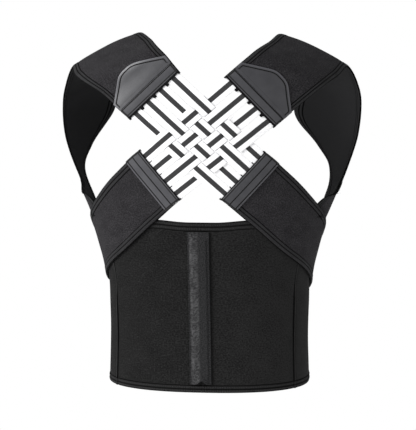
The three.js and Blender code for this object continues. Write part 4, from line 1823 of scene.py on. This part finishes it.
        def out(v: Values) -> Values:
            """How far the edging reaches over the elastic.

            Args:
                v: Lines, from one edge of the strap to the other.

            Returns:
                The distances, in millimetres.
            """
            found = np.full_like(v, reach)
            for share in self.band_places:
                off = np.abs(v - share) * width
                found = found + tab * (1 - ease(self.tab_half - 0.4, self.tab_half + 0.4, off))
            return found + self.corner_tab * (1 - ease(1.6, 2.6, np.minimum(v, 1 - v) * width))

        def measure(u: Values, v: Values) -> tuple[Values, Values]:
            """Millimetres along the strap, and across it."""
            return u * (reach + tab), v * width

        def surface(u: Values, v: Values, through: Values) -> Points:
            """Points of the edging, straight on from the strap's end."""
            station = run.station(np.full_like(u, run.tip), v)
            level = CLOTH / 2 + self.over_bands + through * (self.thickness - 0.25)
            edge, ahead = (run.surface(station + shift, v, level) for shift in (0, 0.02))
            return edge + unit(ahead - edge) * mix(-out(v), 0.15, u)[:, None]

        finish = TapeFinish(f"{name}_finish", (), grey(10, 1), grey(24, 1)).material()
        Slab(name, 8, 200, surface, measure, 0.3).build(self.form, finish, "binding")


class BandLine(NamedTuple):
    """The straight line of one elastic band on the back: where it starts, its way and its length."""

    start: Points
    way: Points
    length: float


@dataclass
class Lattice:
    """Eight elastic bands woven over and under each other between the strap ends."""

    form: Form
    finish: bpy.types.Material
    count: int = 4
    width: float = 18.8
    thickness: float = 1.2
    tuck: float = 9.5
    weave_rise: float = 0.95

    def line(self, side: Side, index: int) -> BandLine:
        """The line of one band, from an upper pad to the lower pad on the other side.

        Args:
            side: The side of the upper pad.
            index: The band's number, from 0.

        Returns:
            The line.
        """
        other = Side.LEFT if side is Side.RIGHT else Side.RIGHT
        share = (index + 0.5) / self.count
        high, low = side.corners, other.corners
        start = self.form.spot(mix(np.array(high.upper_neck), np.array(high.upper_arm), share), side.value)
        end = self.form.spot(mix(np.array(low.lower_top), np.array(low.lower_foot), share), other.value)
        length = float(np.linalg.norm(end - start))
        return BandLine(start, (end - start) / length, length)

    def knots(self, line: BandLine, others: list[BandLine], index: int, first: int) -> Points:
        """Where a band rises and dips.

        Args:
            line: The band's line.
            others: The lines of the bands that cross it.
            index: The band's number.
            first: 1 if the first crossing of the first band is over, -1 if it is under.

        Returns:
            Rows of distance along the band, slant of the fold, and level.
        """
        half = (self.width + GAP) / 2
        woven = []
        for number, other in enumerate(others):
            gap = other.start - line.start
            sine = line.way[0] * other.way[1] - line.way[1] * other.way[0]
            at = (gap[0] * other.way[1] - gap[1] * other.way[0]) / sine
            slant = float(line.way @ other.way) / sine
            level = self.weave_rise * (first if (index + number) % 2 == 0 else -first)
            woven += [(at + shift / abs(sine), slant, level) for shift in (-half, 0.0, half)]
        woven.sort()
        heads = (-self.tuck, 0.0, woven[0][0] / 2)
        tails = (mix(woven[-1][0], line.length, 0.5), line.length, line.length + self.tuck)
        flat = [[(place, 0.0, 0.0) for place in places] for places in (heads, tails)]
        return np.array(flat[0] + woven + flat[1])

    def build_band(self, name: str, node: str, line: BandLine, knots: Points) -> None:
        """Makes one band.

        Args:
            name: The piece's name.
            node: The node that it stands for.
            line: Where it runs.
            knots: Where it rises and dips.
        """
        middle = STRAP_FACE + GAP + self.thickness / 2
        length = line.length + 2 * self.tuck

        def surface(u: Values, v: Values, through: Values) -> Points:
            """Points of the band, folded along the slanted edges of the bands that cross it.

            Args:
                u: Shares along it.
                v: Shares across it.
                through: Shares through its thickness.

            Returns:
                The points, in millimetres.
            """
            sideways = (v - 0.5) * self.width
            along = mix(-self.tuck, line.length + self.tuck, u)
            level = np.zeros_like(along)
            for column in np.unique(np.round(sideways, 4)):
                chosen = np.abs(sideways - column) < 1e-3
                places = knots[:, 0] + knots[:, 1] * column
                row = np.clip(np.searchsorted(places, along[chosen]) - 1, 0, len(places) - 2)
                share = ease(0, 1, (along[chosen] - places[row]) / (places[row + 1] - places[row]))
                level[chosen] = mix(knots[row, 2], knots[row + 1, 2], share)
            x = line.start[0] + along * line.way[0] - sideways * line.way[1]
            z = line.start[1] + along * line.way[1] + sideways * line.way[0]
            return self.form.on_back(x, z, middle + level + (through - 0.5) * self.thickness)

        def measure(u: Values, v: Values) -> tuple[Values, Values]:
            """Millimetres along the band, and from its middle."""
            return u * length, (v - 0.5) * self.width

        piece = Slab(name, 200, 10, surface, measure, 0.35).build(self.form, self.finish, "elastic", node)
        flat = (self.width * MM, length * MM)

    def build(self) -> None:
        """Makes all eight bands."""
        falling = [self.line(Side.LEFT, index) for index in range(self.count)]
        rising = [self.line(Side.RIGHT, index) for index in range(self.count)]
        layers = (("falling", falling, rising, 1), ("rising", rising, falling, -1))
        for kind, lines, others, first in layers:
            for index, line in enumerate(lines):
                knots = self.knots(line, others, index, first)
                self.build_band(f"{kind}_elastic_{index + 1}", f"{kind}_band_{index + 1}", line, knots)


@dataclass(frozen=True)
class Studio:
    """Pale floor, soft light from the upper left, and the camera."""

    camera_at: tuple[float, float, float] = (0.1697, -1.7756, -0.0577)
    target: tuple[float, float, float] = (-0.00219, 0.00929, -0.2146)
    lens: float = 114.16
    sensor: float = 36.0
    floor_drop: float = 0.3
    floor_radius: float = 0.85
    surround: float = 0.62
    mirror_loss: float = 0.3
    key_power: float = 75.0
    fill_power: float = 5.0

    def aim(self, thing: bpy.types.Object, place: tuple[float, float, float]) -> None:
        """Puts a camera or light at a place and turns it to the brace."""
        thing.location = place
        thing.rotation_mode = "QUATERNION"
        thing.rotation_quaternion = (Vector(self.target) - Vector(place)).to_track_quat("-Z", "Y")

    def build_camera(self) -> None:
        """Makes the camera at the photographed angle."""
        data = bpy.data.cameras.new("camera")
        data.lens = self.lens
        data.sensor_width = self.sensor
        bpy.context.scene.camera = shown("camera", data)
        self.aim(bpy.context.scene.camera, self.camera_at)

    def build_light(self, name: str, place: tuple[float, float, float], size: float, power: float) -> None:
        """Makes one soft square light that faces the brace."""
        data = bpy.data.lights.new(name, "AREA")
        data.size = size
        data.energy = power
        self.aim(shown(name, data), place)

    def build_floor(self) -> None:
        """Makes a wide floor below the brace."""
        plane = bmesh.new()
        bmesh.ops.create_circle(plane, cap_ends=True, segments=64, radius=self.floor_radius)
        bmesh.ops.translate(plane, vec=(0, 0, cad_box[0].z - self.floor_drop), verts=plane.verts[:])
        mesh = bpy.data.meshes.new("floor")
        plane.to_mesh(mesh)
        plane.free()
        mesh.materials.append(FloorFinish().material())
        shown("floor", mesh)

    def build_surround(self) -> None:
        """Makes the white surround, which lights the brace less than the camera sees of it."""
        world = bpy.data.worlds.new("surround")
        tree = FinishTree("surround", world)
        seen = tree.node("ShaderNodeLightPath", {}, {}, "Is Camera Ray")
        mirrored = seen.output("Is Glossy Ray")
        strength = seen * (1 - self.surround) + self.surround - mirrored * self.mirror_loss
        light = tree.node("ShaderNodeBackground", {}, {"Color": (1, 1, 1, 1), "Strength": strength})
        tree.show("ShaderNodeOutputWorld", light)
        bpy.context.scene.world = world
        bpy.context.scene.view_settings.view_transform = "Standard"

    def build(self) -> None:
        """Sets the studio up."""
        self.build_surround()
        self.build_camera()
        self.build_light("key_light", (-2.0, -1.3, 0.8), 1.4, self.key_power)
        self.build_light("fill_light", (1.9, -1.3, 0.3), 1.6, self.fill_power)
        self.build_floor()


def main() -> None:
    """Builds and dresses the brace, part by part."""
    logging.basicConfig(level=logging.INFO, format="%(message)s")
    form = Form()
    sizes = BeltSizes()
    # The belt cloth is painted paler towards the right, as painted light.
    belt_cloth = ClothFinish("belt_cloth", grey(15), grey(39), 0.3).material()
    strap_cloth = ClothFinish("strap_cloth", shade(25, 24, 26), shade(59, 58, 60)).material()
    thread = ThreadFinish("dark_thread").material()
    leather_thread = ThreadFinish("leather_thread", grey(2), grey(10, 1)).material()
    pale_thread = ThreadFinish("pale_thread", grey(48, 1), grey(72, 1)).material()
    Belt(form, sizes, belt_cloth, thread, pale_thread).build()
    for side in Side:
        shoulder, lower = ShoulderRun(form, sizes, side), SideRun(form, sizes, side)
        Strap(
            form,
            shoulder,
            strap_cloth,
            thread,
            name=f"{side.label}_shoulder",
            node=f"{side.label}_shoulder_strap",
            edges=("arm", "neck"),
            flat=(0.08, 0.455),
            rows=190,
        ).build()
        Strap(
            form,
            lower,
            strap_cloth,
            thread,
            name=f"{side.label}_under_arm",
            node=f"{side.label}_lower_strap",
            edges=("upper", "foot"),
            flat=(0.062, 0.3),
            rows=120,
            binding_share=0.13,
            seam_shares=(0.5, 0.92),
            end_rows=(0.975, 0.985),
        ).build()
        LeatherEnds(form, side, shoulder, lower, leather_thread).build()
    Lattice(form, ElasticFinish().material()).build()
    Studio().build()


if __name__ == "__main__":
    main()
